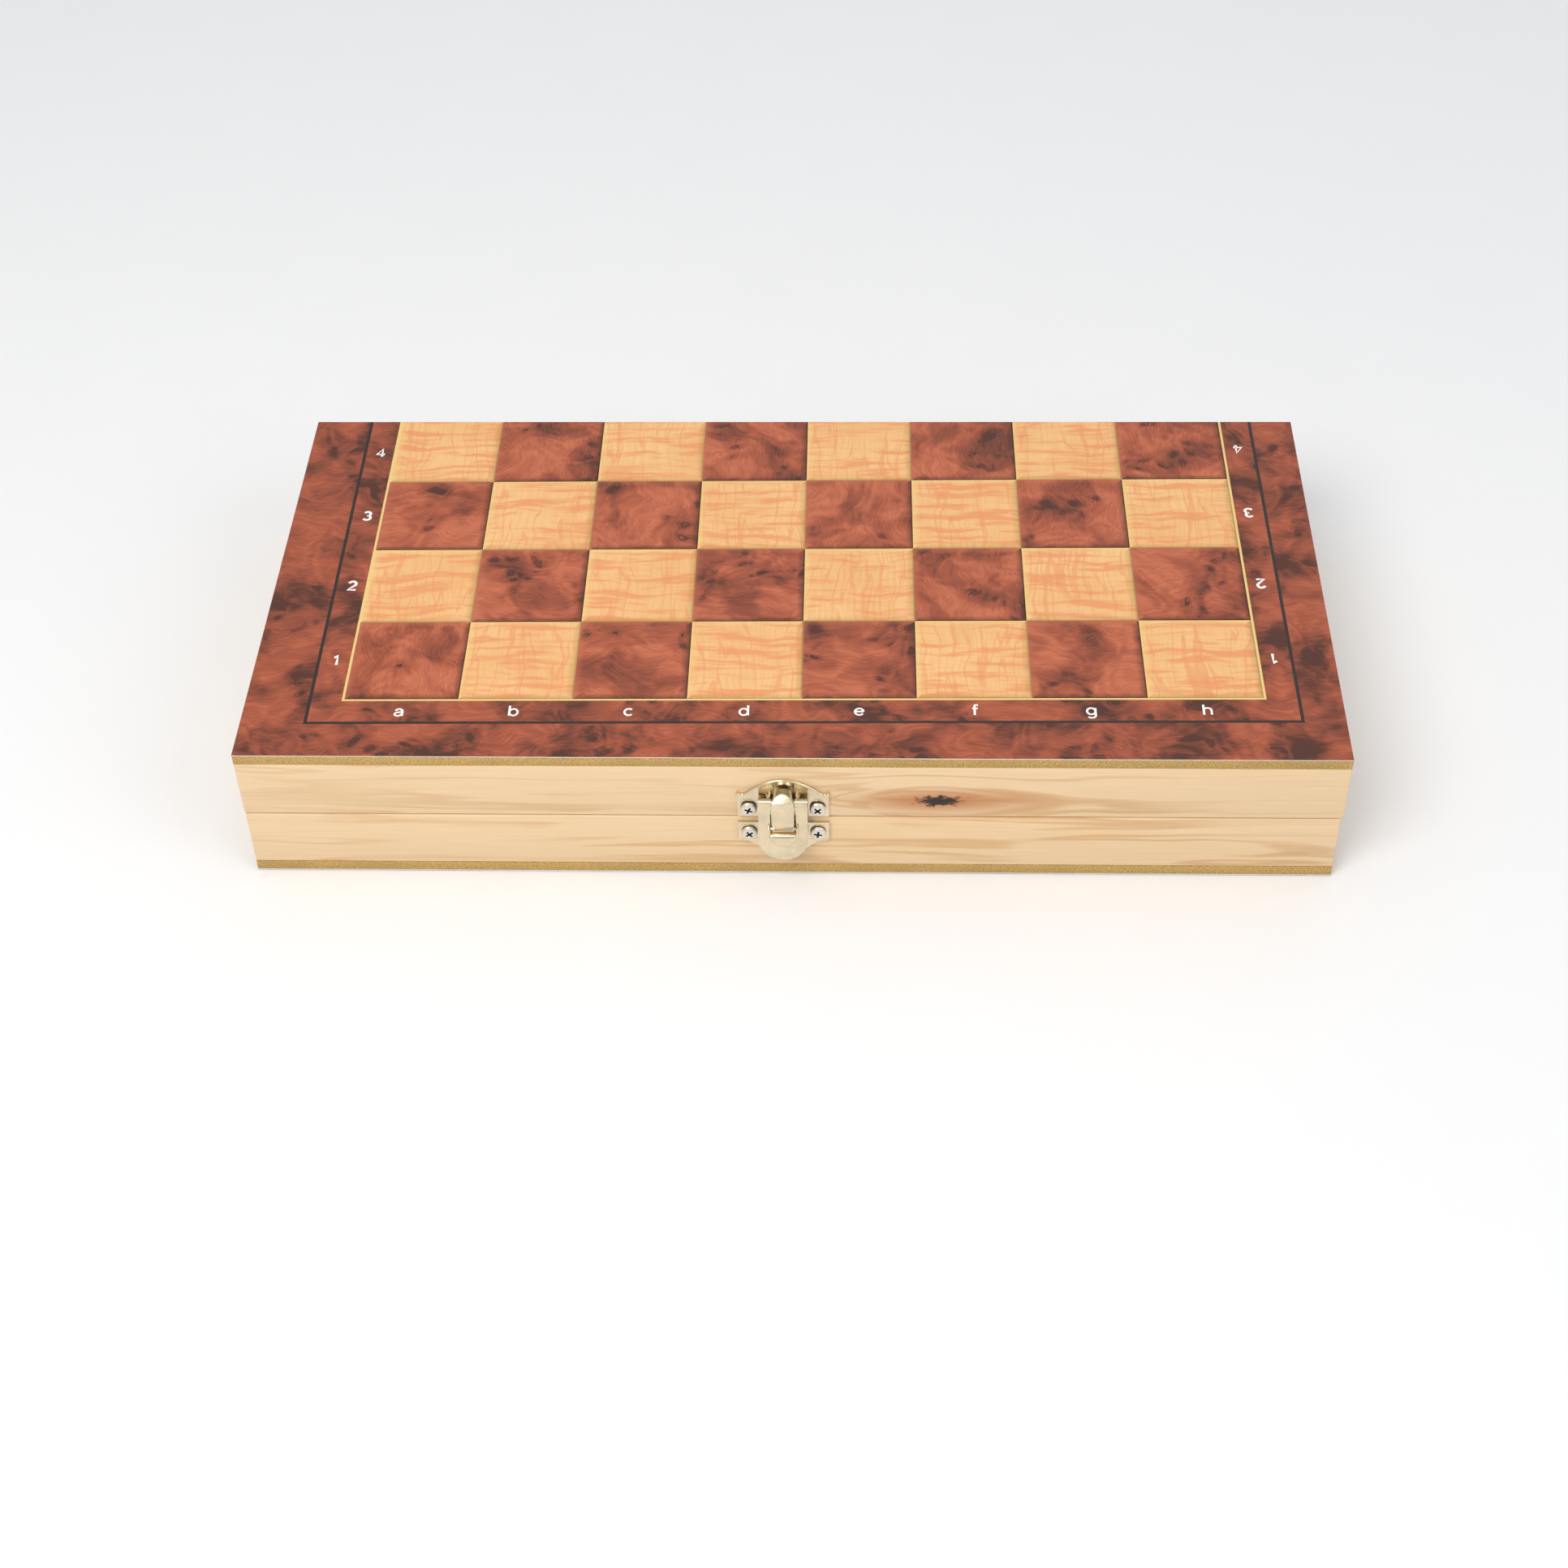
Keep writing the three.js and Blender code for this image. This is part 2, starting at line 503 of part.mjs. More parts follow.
function manGeometry(kind) {
  const radius = (MEN[kind].diameter * SQUARE) / 2;
  const height = MEN[kind].height * SQUARE;
  const points = PROFILES[kind].map(([r, y]) => new THREE.Vector2(r * radius, y * height));
  const turned = new THREE.LatheGeometry(points, MAN_SIDES);
  if (kind !== "knight") return turned;
  const half = HORSE_THICKNESS * radius;
  const head = new THREE.ExtrudeGeometry(
    outline(HORSE.map(([x, y]) => [x * radius, y * height])),
    { depth: 2 * half, bevelEnabled: false },
  );
  return joined(turned, head.translate(0, 0, -half));
}

// The angle by which a man's head drops as it lies on its foot's rim and its next widest point.
function restingTilt(kind) {
  const radius = (MEN[kind].diameter * SQUARE) / 2;
  const height = MEN[kind].height * SQUARE;
  const widest = PROFILES[kind][2];
  const touching = PROFILES[kind].slice(3);
  if (kind === "knight") touching.push([HORSE_THICKNESS, 1]);
  const slopes = touching.map(
    ([r, y]) => ((widest[0] - r) * radius) / ((y - widest[1]) * height),
  );
  return { angle: Math.atan(Math.min(...slopes)), radius, rimY: widest[1] * height };
}

// Lays a man down with its foot at footY. Toward is 1 when its head points to the back.
function layMan(name, kind, material, x, footY, toward) {
  const { angle, radius, rimY } = restingTilt(kind);
  const holder = new THREE.Group();
  const man = addPart(name, manGeometry(kind), material, holder);
  man.rotation.x = -angle;
  const lift = radius * Math.cos(angle) + rimY * Math.sin(angle);
  // The foot's upper rim leans back past the foot's centre, so the man moves in by that much.
  man.position.set(0, radius * Math.sin(angle), lift);
  holder.rotation.z = toward > 0 ? 0 : Math.PI;
  holder.position.set(x, footY, FLOOR + FLOOR_CLEARANCE);
  root.add(holder);
}

const insideLeft = lowerSpan[0] + RAIL_THICKNESS;
const insideFront = FRONT + RAIL_THICKNESS;
const insideBack = BACK - RAIL_THICKNESS;
const BACK_RANK = ["rook", "knight", "bishop", "queen", "king", "bishop", "knight", "rook"];
const ARMIES = [
  ["white", PALE_WOOD, 1, insideFront + MAN_GAP],
  ["black", DARK_WOOD, -1, insideBack - MAN_GAP],
];

let laneLeft = insideLeft + MAN_GAP;
const seen = {};
for (const kind of BACK_RANK) {
  const width = MEN[kind].diameter * SQUARE;
  seen[kind] = (seen[kind] ?? 0) + 1;
  const single = kind === "king" || kind === "queen";
  const label = single ? kind : `${kind}_${seen[kind]}`;
  for (const [army, material, toward, footY] of ARMIES) {
    layMan(`${army}_${label}`, kind, material, laneLeft + width / 2, footY, toward);
  }
  laneLeft += width + MAN_GAP;
}

const PAWN_COLUMNS = 4;
const pawnRow = (insideBack - insideFront) / 4;
const pawnWidth = MEN.pawn.diameter * SQUARE;
for (let pawn = 0; pawn < 8; pawn += 1) {
  const column = pawn % PAWN_COLUMNS;
  const row = Math.floor(pawn / PAWN_COLUMNS);
  const x = laneLeft + column * (pawnWidth + MAN_GAP) + pawnWidth / 2;
  for (const [army, material, toward, footY] of ARMIES) {
    const foot = footY - toward * (MAN_GAP / 2) + toward * row * pawnRow;
    layMan(`${army}_pawn_${pawn + 1}`, "pawn", material, x, foot, toward);
  }
}

export default root;
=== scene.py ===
"""Looks of a folding chess set: its printed field, pine box, brass-toned latch, hinges and men."""

import math
import random

import bmesh
import bpy
from bpy.props import FloatProperty, FloatVectorProperty, IntProperty, PointerProperty
from mathutils import Matrix, Vector


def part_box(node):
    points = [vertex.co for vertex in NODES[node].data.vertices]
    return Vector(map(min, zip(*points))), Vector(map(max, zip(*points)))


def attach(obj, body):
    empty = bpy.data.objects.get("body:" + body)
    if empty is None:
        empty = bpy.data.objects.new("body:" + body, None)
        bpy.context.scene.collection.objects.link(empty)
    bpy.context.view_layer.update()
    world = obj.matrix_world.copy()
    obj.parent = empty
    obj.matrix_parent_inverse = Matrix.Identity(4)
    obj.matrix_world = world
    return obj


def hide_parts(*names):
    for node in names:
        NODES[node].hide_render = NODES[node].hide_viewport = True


bl_info = {
    "name": "Folding Chess Set",
    "version": (1, 0, 0),
    "blender": (4, 5, 0),
    "location": "View3D > Sidebar > Chess Set",
    "description": "Builds the finished pieces of a folding chess set round its frame",
    "category": "Add Mesh",
}

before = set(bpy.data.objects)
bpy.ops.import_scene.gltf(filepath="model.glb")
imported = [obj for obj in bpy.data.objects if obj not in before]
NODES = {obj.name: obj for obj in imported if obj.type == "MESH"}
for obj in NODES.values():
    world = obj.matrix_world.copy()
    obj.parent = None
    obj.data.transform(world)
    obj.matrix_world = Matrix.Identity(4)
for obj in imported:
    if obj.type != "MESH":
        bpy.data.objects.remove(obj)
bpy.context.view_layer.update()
MM = 0.001

# ---- Places read from the frame ----
BOX_LOW, BOX_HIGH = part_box("upper_panel")
BOARD = BOX_HIGH.x - BOX_LOW.x
PARTING = (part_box("lower_front_rail")[1].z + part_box("upper_front_rail")[0].z) / 2
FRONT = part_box("upper_front_rail")[0].y
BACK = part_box("upper_back_rail")[1].y
STRIKE_LOW, STRIKE_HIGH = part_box("latch_strike_plate")
LATCH = Vector(((STRIKE_LOW.x + STRIKE_HIGH.x) / 2, FRONT, PARTING))
SQUARE = (BOARD - 38.8 * MM) / 8  # what the two side borders leave, shared by eight columns


# ---- Settings ----
def length(name, description, default):
    """A length in metres, as a property a user can change."""
    return FloatProperty(name=name, description=description, default=default, unit="LENGTH", precision=5)


def colour(name, description, default):
    """A linear colour, as a property a user can change."""
    return FloatVectorProperty(
        name=name, description=description, default=default, subtype="COLOR", size=3, min=0, max=1
    )


class FieldSettings(bpy.types.PropertyGroup):
    """Sizes and colours of the printed playing field."""

    square_width: length("Square width", "Side of a square along the box", SQUARE)
    square_depth: length("Square depth", "Side of a square from front to back", 25.86 * MM)
    shift: length("Print shift", "How far the print sits right of the panel's middle", 2.1 * MM)
    front_border: length("Front border", "From the latch edge to the first row", 18.8 * MM)
    turn: FloatProperty(
        name="Print turn",
        description="How far the print is turned on the panel",
        default=math.radians(0.44),
        subtype="ANGLE",
    )
    frame_line: length("Frame line", "Width of the pale line round the squares", 0.55 * MM)
    inlay_gap: length("Inlay gap", "From the squares out to the dark line", 7.2 * MM)
    inlay_line: length("Inlay line", "Width of the dark line", 0.75 * MM)
    edge_hard: length("Hard edge", "Width of a square's darkest edge band", 0.45 * MM)
    edge_soft: length("Soft edge", "Width of the fading band inside it", 1.3 * MM)
    letter_height: length("Letter height", "Height of a small letter without its stem", 2.3 * MM)
    letter_weight: length("Letter weight", "Stroke width of a letter", 0.5 * MM)
    number_weight: length("Number weight", "Stroke width of a number", 0.66 * MM)
    letter_drop: length("Letter drop", "From the squares down to the letters' feet", 5.4 * MM)
    number_gap: length("Number gap", "From the squares out to the numbers' middle", 3.7 * MM)
    burl_dark: colour("Burl, dark", "Eyes and shadows of the burl veneer", (0.085, 0.028, 0.018))
    burl_middle: colour("Burl, middle", "Main tone of the burl veneer", (0.37, 0.088, 0.042))
    burl_light: colour("Burl, light", "Highlights of the burl veneer", (0.62, 0.18, 0.088))
    maple: colour("Maple", "Main tone of the pale squares", (0.8, 0.445, 0.175))
    maple_flame: colour("Maple flame", "Streaks of the pale squares", (0.76, 0.255, 0.1))
    pale_line: colour("Pale line", "Frame line and lit edges", (0.84, 0.6, 0.22))
    ink: colour("Ink", "Dark line and shaded edges", (0.02, 0.009, 0.006))
    lettering: colour("Lettering", "Letters and numbers", (0.92, 0.9, 0.87))


class BoxSettings(bpy.types.PropertyGroup):
    """Sizes and colours of the wooden box."""

    rail_edge: length("Rail edge", "Rounding of the rails' edges", 0.3 * MM)
    panel_edge: length("Panel edge", "Rounding of the panels' edges", 0.12 * MM)
    knot_x: length("Knot place", "How far right of the middle the front knot sits", 32.5 * MM)
    knot_height: length("Knot height", "Height of the front knot", 22.6 * MM)
    pine: colour("Pine", "Main tone of the rails", (0.78, 0.56, 0.33))
    pine_streak: colour("Pine streak", "Late wood of the rails", (0.6, 0.34, 0.15))
    fibreboard: colour("Fibreboard", "Sawn edge and face of the panels", (0.6, 0.38, 0.12))


class MetalSettings(bpy.types.PropertyGroup):
    """Colours and polish of the latch and hinges."""

    plating: colour("Plating", "Pale gold plating of latch and hinges", (0.82, 0.7, 0.5))
    steel: colour("Steel", "Screws and pins", (0.78, 0.72, 0.62))
    roughness: FloatProperty(name="Roughness", description="Of the plating", default=0.16, min=0, max=1)


class MenSettings(bpy.types.PropertyGroup):
    """Sizes and colours of the men."""

    sides: IntProperty(name="Sides", description="Sides of a turned man", default=24, min=8)
    pale: colour("Pale men", "Varnished pale wood", (0.74, 0.47, 0.2))
    dark: colour("Dark men", "Stained dark wood", (0.07, 0.026, 0.012))
    felt: colour("Felt", "Felt under the men", (0.02, 0.075, 0.035))


class StageSettings(bpy.types.PropertyGroup):
    """Camera, light and floor."""

    camera_place: FloatVectorProperty(
        name="Camera place", description="In the frame", default=(0.018, -0.4577, 0.4158), unit="LENGTH"
    )
    elevation: FloatProperty(
        name="Elevation", description="Downward look", default=math.radians(44.28), subtype="ANGLE"
    )
    azimuth: FloatProperty(
        name="Azimuth", description="Turn to the right", default=math.radians(-2.75), subtype="ANGLE"
    )
    roll: FloatProperty(name="Roll", description="Tilt", default=math.radians(-1.65), subtype="ANGLE")
    lens: FloatProperty(name="Lens", description="Focal length on a 36 mm sensor", default=59.2)
    floor: colour("Floor", "Colour of the floor", (0.86, 0.86, 0.86))


# ---- Modelling helpers ----
def object_mode():
    """Leaves edit mode, if it is on."""
    if bpy.context.mode != "OBJECT":
        bpy.ops.object.mode_set(mode="OBJECT")


def only(piece):
    """Makes a piece the one selected and active object."""
    object_mode()
    bpy.ops.object.select_all(action="DESELECT")
    piece.select_set(True)
    bpy.context.view_layer.objects.active = piece
    return piece


def clear():
    """Deselects everything before a primitive is added."""
    object_mode()
    bpy.ops.object.select_all(action="DESELECT")


def settled(name):
    """Names the active object and puts its place into its mesh."""
    piece = only(bpy.context.active_object)
    bpy.ops.object.transform_apply(location=True, rotation=True, scale=True)
    piece.name = name
    piece.data.name = name
    return piece


def add_block(name, low, high):
    """A box between two corners."""
    clear()
    low, high = Vector(low), Vector(high)
    bpy.ops.mesh.primitive_cube_add(size=1, location=(low + high) / 2, scale=high - low)
    return settled(name)


def add_rod(name, radius, start, end, sides=24):
    """A rod between two points."""
    clear()
    start, end = Vector(start), Vector(end)
    turn = (end - start).to_track_quat("Z", "Y").to_euler()
    bpy.ops.mesh.primitive_cylinder_add(
        vertices=sides, radius=radius, depth=(end - start).length, location=(start + end) / 2, rotation=turn
    )
    return settled(name)


def edit(piece):
    """Puts a piece in edit mode with all of it selected."""
    only(piece)
    bpy.ops.object.mode_set(mode="EDIT")
    bpy.ops.mesh.select_mode(type="FACE")
    bpy.ops.mesh.select_all(action="SELECT")


def pick(piece, test, kind="FACE"):
    """Selects the faces, edges or vertices that a test accepts, in edit mode."""
    if bpy.context.mode != "EDIT_MESH":
        edit(piece)
    bpy.ops.mesh.select_mode(type=kind)
    bpy.ops.mesh.select_all(action="DESELECT")
    shape = bmesh.from_edit_mesh(piece.data)
    for element in {"FACE": shape.faces, "EDGE": shape.edges, "VERT": shape.verts}[kind]:
        if test(element):
            element.select_set(True)
    shape.select_flush_mode()
    bmesh.update_edit_mesh(piece.data)


def apply_modifier(piece, kind, **settings):
    """Adds a modifier and applies it."""
    only(piece)
    modifier = piece.modifiers.new(kind.title(), kind)
    for key, value in settings.items():
        setattr(modifier, key, value)
    bpy.ops.object.modifier_apply(modifier=modifier.name)
    return piece


def ease(piece, width, segments=3, angle=35):
    """Rounds the sharp edges of a piece."""
    return apply_modifier(
        piece,
        "BEVEL",
        width=width,
        segments=segments,
        limit_method="ANGLE",
        angle_limit=math.radians(angle),
        use_clamp_overlap=True,
    )


def combine(piece, tool, operation, **settings):
    """Cuts a piece with a tool, joins them or keeps what they share, and removes the tool."""
    settings.setdefault("solver", "MANIFOLD")
    apply_modifier(piece, "BOOLEAN", operation=operation, object=tool, **settings)
    bpy.data.objects.remove(tool)
    if not piece.data.polygons:
        raise RuntimeError(f"{operation} left nothing of {piece.name}")
    return piece


def cut(piece, tool):
    """Cuts a tool out of a piece."""
    return combine(piece, tool, "DIFFERENCE")


def weld(piece, tool):
    """Makes a piece and a tool one solid."""
    return combine(piece, tool, "UNION")


def merged(target, others):
    """Joins loose pieces into one object."""
    object_mode()
    bpy.ops.object.select_all(action="DESELECT")
    for other in others:
        other.select_set(True)
    target.select_set(True)
    bpy.context.view_layer.objects.active = target
    bpy.ops.object.join()
    return target


def smooth(piece, angle=35):
    """Shades a piece smooth, apart from its sharp edges."""
    only(piece)
    bpy.ops.object.shade_smooth_by_angle(angle=math.radians(angle))
    return piece


def outward(piece, merge=1e-7):
    """Merges doubles and turns every face outward."""
    edit(piece)
    bpy.ops.mesh.remove_doubles(threshold=merge)
    bpy.ops.mesh.normals_make_consistent(inside=False)
    if bmesh.from_edit_mesh(piece.data).calc_volume(signed=True) < 0:
        bpy.ops.mesh.flip_normals()
    object_mode()
    return piece


def extrude(step):
    """Draws the selection out along a step."""
    bpy.ops.mesh.extrude_region_move(TRANSFORM_OT_translate={"value": step})


def traced(name, points, fill=True):
    """An outline drawn by extruding one vertex from point to point."""
    clear()
    bpy.ops.mesh.primitive_plane_add(size=MM, location=points[0])
    piece = settled(name)
    edit(piece)
    bpy.ops.mesh.merge(type="CENTER")
    bpy.ops.mesh.select_mode(type="VERT")
    bpy.ops.mesh.select_all(action="SELECT")
    for start, end in zip(points, points[1:]):
        extrude(Vector(end) - Vector(start))
    bpy.ops.mesh.select_all(action="SELECT")
    if fill:
        bpy.ops.mesh.edge_face_add()
    return piece


def plate(name, outline, near, far):
    """A plate standing on the front face, from an outline in mm round the latch's middle."""
    points = [LATCH + Vector((x * MM, -near * MM, z * MM)) for x, z in outline]
    piece = traced(name, points)
    extrude((0, -(far - near) * MM, 0))
    object_mode()
    return outward(piece)


def bow(cx, cy, rx, ry, start, end, steps=10):
    """Points of an oval arc round a centre, in degrees, with both ends."""
    turns = [math.radians(start + (end - start) * step / steps) for step in range(steps + 1)]
    return [(cx + rx * math.cos(turn), cy + ry * math.sin(turn)) for turn in turns]


def finished_copy(node, name):
    """A merged copy of a CAD node's mesh, ready to be shaped further."""
    piece = bpy.data.objects.new(name, NODES[node].data.copy())
    bpy.context.scene.collection.objects.link(piece)
    piece.data.name = name
    piece.data.materials.clear()
    edit(piece)
    bpy.ops.mesh.remove_doubles(threshold=1e-6)
    bpy.ops.mesh.dissolve_limited(angle_limit=math.radians(0.5))
    object_mode()
    return piece


def place_piece(piece, body, nodes, slot, *materials):
    """Gives a piece its materials and its body, and hides the nodes it stands for; the slot is not used."""
    if materials:
        piece.data.materials.clear()
        for material in materials:
            piece.data.materials.append(material)
    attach(piece, body)
    if nodes:
        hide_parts(*nodes)
    return piece


# ---- Material helper ----
class Finish:
    """A node material, built by short calls that add its nodes."""

    def __init__(self, name):
        self.material = bpy.data.materials.new(name)
        self.material.use_nodes = True
        self.tree = self.material.node_tree
        self.shader = self.tree.nodes["Principled BSDF"]

    def add(self, kind, inputs=None, **settings):
        node = self.tree.nodes.new("ShaderNode" + kind)
        for key, value in settings.items():
            setattr(node, key, value)
        for key, value in (inputs or {}).items():
            self.put(node.inputs[key], value)
        return node

    def put(self, socket, value):
        if isinstance(value, bpy.types.NodeSocket):
            self.tree.links.new(value, socket)
        elif socket.type == "RGBA":
            socket.default_value = (*value[:3], 1)
        else:
            socket.default_value = value

    def object_place(self):
        return self.add("TexCoord").outputs["Object"]

    def uv_place(self, name):
        return self.add("UVMap", uv_map=name).outputs["UV"]

    def mapped(self, vector, scale=(1, 1, 1), location=(0, 0, 0)):
        inputs = {"Vector": vector, "Scale": scale, "Location": location}
        return self.add("Mapping", inputs).outputs["Vector"]

    def noise(self, vector, scale, detail=2.0, roughness=0.5, distortion=0.0, output="Fac"):
        inputs = {
            "Vector": vector,
            "Scale": scale,
            "Detail": detail,
            "Roughness": roughness,
            "Distortion": distortion,
        }
        return self.add("TexNoise", inputs).outputs[output]

    def math(self, operation, a, b=0.0):
        node = self.add("Math", operation=operation)
        self.put(node.inputs[0], a)
        self.put(node.inputs[1], b)
        return node.outputs[0]

    def plus(self, a, b):
        return self.math("ADD", a, b)

    def minus(self, a, b):
        return self.math("SUBTRACT", a, b)

    def times(self, a, b):
        return self.math("MULTIPLY", a, b)

    def waves(self, value, count):
        """A sine that turns a value's slopes into rings or bands."""
        return self.math("SINE", self.times(value, count))

    def swing(self, value, amount):
        """How far a noise stands off its middle, scaled."""
        return self.times(self.minus(value, 0.5), amount)

    def vector_math(self, operation, a, b=(0, 0, 0)):
        node = self.add("VectorMath", operation=operation)
        self.put(node.inputs[0], a)
        if operation == "SCALE":
            self.put(node.inputs["Scale"], b)
        else:
            self.put(node.inputs[1], b)
        return node.outputs[1 if operation in ("LENGTH", "DISTANCE") else 0]

    def spread(self, value, low, high, to_low=0.0, to_high=1.0):
        """Eases a value's range onto another range."""
        inputs = {"Value": value, "From Min": low, "From Max": high, "To Min": to_low, "To Max": to_high}
        return self.add("MapRange", inputs, interpolation_type="SMOOTHSTEP").outputs["Result"]

    def ramp(self, value, stops):
        node = self.add("ValToRGB", {"Fac": value})
        elements = node.color_ramp.elements
        while len(elements) < len(stops):
            elements.new(0.5)
        for element, (place, shade) in zip(elements, stops):
            element.position = place
            element.color = (*shade[:3], 1)
        return node.outputs["Color"]

    def mix(self, factor, a, b):
        node = self.add("Mix", data_type="RGBA", clamp_result=True)
        self.put(node.inputs["Factor"], factor)
        self.put(node.inputs[6], a)
        self.put(node.inputs[7], b)
        return node.outputs[2]

    def warped(self, vector, scale, amount):
        """Places pushed about by a coloured noise."""
        shift = self.noise(vector, scale, output="Color")
        centred = self.vector_math("SUBTRACT", shift, (0.5, 0.5, 0.5))
        return self.vector_math("ADD", vector, self.vector_math("SCALE", centred, amount))

    def bump(self, height, strength, distance=0.1 * MM):
        inputs = {"Height": height, "Strength": strength, "Distance": distance}
        self.put(self.shader.inputs["Normal"], self.add("Bump", inputs).outputs["Normal"])

    def surface(self, **values):
        """Sets the shader's sockets, with _ for each space, and gives the finished material."""
        for key, value in values.items():
            self.put(self.shader.inputs[key.replace("_", " ")], value)
        return self.material


# ---- Materials of the printed field ----
GRAIN = "grain"  # UV map of the field, in centimetres, with its own start on each square
GRAIN_UNIT = 0.01
FIGURE = (5, 90)  # range of the squares' starts in the veneer, in such units
BORDER_START = 200
EDGE = "edge_shade"  # face corner attribute: above 0 where an edge is lit, below 0 where shaded


def burl_print(name, field, tone):
    """Printed burl: swirling figure, clusters of eyes and soft dark clouds."""
    m = Finish(name)
    grain = m.uv_place(GRAIN)
    swirl = m.warped(m.warped(grain, 0.55, 1.5), 2.2, 0.3)
    cloud = m.noise(swirl, 0.75, 3.0, 0.55)
    contour = m.noise(swirl, 0.5, 1.0, 0.4)
    rings = m.waves(contour, 75.0)
    thread = m.noise(m.mapped(swirl, (3.0, 30.0, 1.0)), 1.0, 3.0, 0.6)
    cluster = m.spread(m.noise(m.mapped(grain, location=(7.3, 2.1, 0)), 0.62, 1.0), 0.5, 0.6)
    eyes = m.add("TexVoronoi", {"Vector": swirl, "Scale": 2.1, "Randomness": 1.0}).outputs["Distance"]
    eye_core = m.spread(eyes, 0.46, 0.08)
    eye_rings = m.times(m.waves(eyes, 42.0), 0.5)
    eye = m.times(cluster, m.plus(eye_core, m.times(eye_rings, eye_core)))
    shade = m.spread(cloud, 0.3, 0.6, 0.26, 0.74)
    shade = m.plus(shade, m.times(rings, 0.06))
    shade = m.plus(shade, m.swing(thread, 0.75))
    shade = m.minus(shade, m.times(eye, 0.5))
    shade = m.minus(shade, m.times(cluster, 0.2))
    speck = m.noise(grain, 30.0, 2.0, 0.7)
    shade = m.plus(shade, m.swing(speck, 0.3))
    shade = m.plus(shade, tone)
    stops = ((0.0, field.burl_dark), (0.55, field.burl_middle), (1.0, field.burl_light))
    veneer = m.ramp(shade, stops)
    colour_out = edged(m, veneer, (0.5, 0.15, 0.08), field.ink)
    m.bump(m.plus(thread, m.times(speck, 0.6)), 0.12)
    m.shader.inputs["Specular IOR Level"].default_value = 0.28
    return m.surface(Base_Color=colour_out, Roughness=m.spread(speck, 0.3, 0.7, 0.4, 0.52))


def edged(m, base, lit, shaded):
    """Adds a square's lit and shaded edges to its colour."""
    edge = m.add("Attribute", attribute_name=EDGE).outputs["Fac"]
    light = m.math("MAXIMUM", edge, 0.0)
    dark = m.math("MAXIMUM", m.times(edge, -1.0), 0.0)
    return m.mix(dark, m.mix(light, base, lit), shaded)


def maple_print(name, field):
    """Printed figured maple: fine upright fibre crossed by wavy flames."""
    m = Finish(name)
    grain = m.uv_place(GRAIN)
    wavy = m.warped(grain, 0.6, 0.55)
    flame = m.noise(m.mapped(wavy, (0.5, 4.6, 1.0)), 1.0, 3.0, 0.62)
    flame = m.spread(flame, 0.46, 0.61)
    fibre = m.noise(m.mapped(wavy, (15.0, 0.6, 1.0)), 1.0, 3.0, 0.55)
    vein = m.noise(m.mapped(wavy, (3.2, 0.25, 1.0), location=(3, 1, 0)), 1.0, 1.0)
    vein = m.spread(m.math("ABSOLUTE", m.minus(vein, 0.5)), 0.035, 0.0)
    cloud = m.noise(grain, 0.5, 2.0)
    pale = tuple(min(1.0, 1.06 * part) for part in field.maple)
    tone = m.mix(m.spread(cloud, 0.3, 0.7), field.maple, (pale[0], 1.08 * pale[1], 1.2 * pale[2]))
    tone = m.mix(m.times(flame, 0.8), tone, field.maple_flame)
    tone = m.mix(m.times(vein, 0.6), tone, field.maple_flame)
    tone = m.mix(m.spread(fibre, 0.35, 0.7, 0.0, 0.4), tone, (0.74, 0.35, 0.12))
    speck = m.noise(grain, 40.0, 2.0, 0.7)
    tone = m.mix(m.spread(speck, 0.35, 0.8, 0.0, 0.16), tone, (1.0, 0.78, 0.48))
    m.bump(m.plus(fibre, m.times(speck, 0.5)), 0.1)
    base = edged(m, tone, field.pale_line, (0.24, 0.17, 0.02))
    m.shader.inputs["Specular IOR Level"].default_value = 0.28
    return m.surface(Base_Color=base, Roughness=m.spread(speck, 0.3, 0.7, 0.42, 0.54))


def plain_print(name, shade, variation=0.12):
    """Plain printed ink with a little paper grain."""
    m = Finish(name)
    speck = m.noise(m.object_place(), 3500.0, 2.0, 0.6)
    darker = tuple(part * (1 - variation) for part in shade)
    tone = m.mix(m.spread(speck, 0.3, 0.7), shade, darker)
    m.bump(speck, 0.05)
    return m.surface(Base_Color=tone, Roughness=0.42)


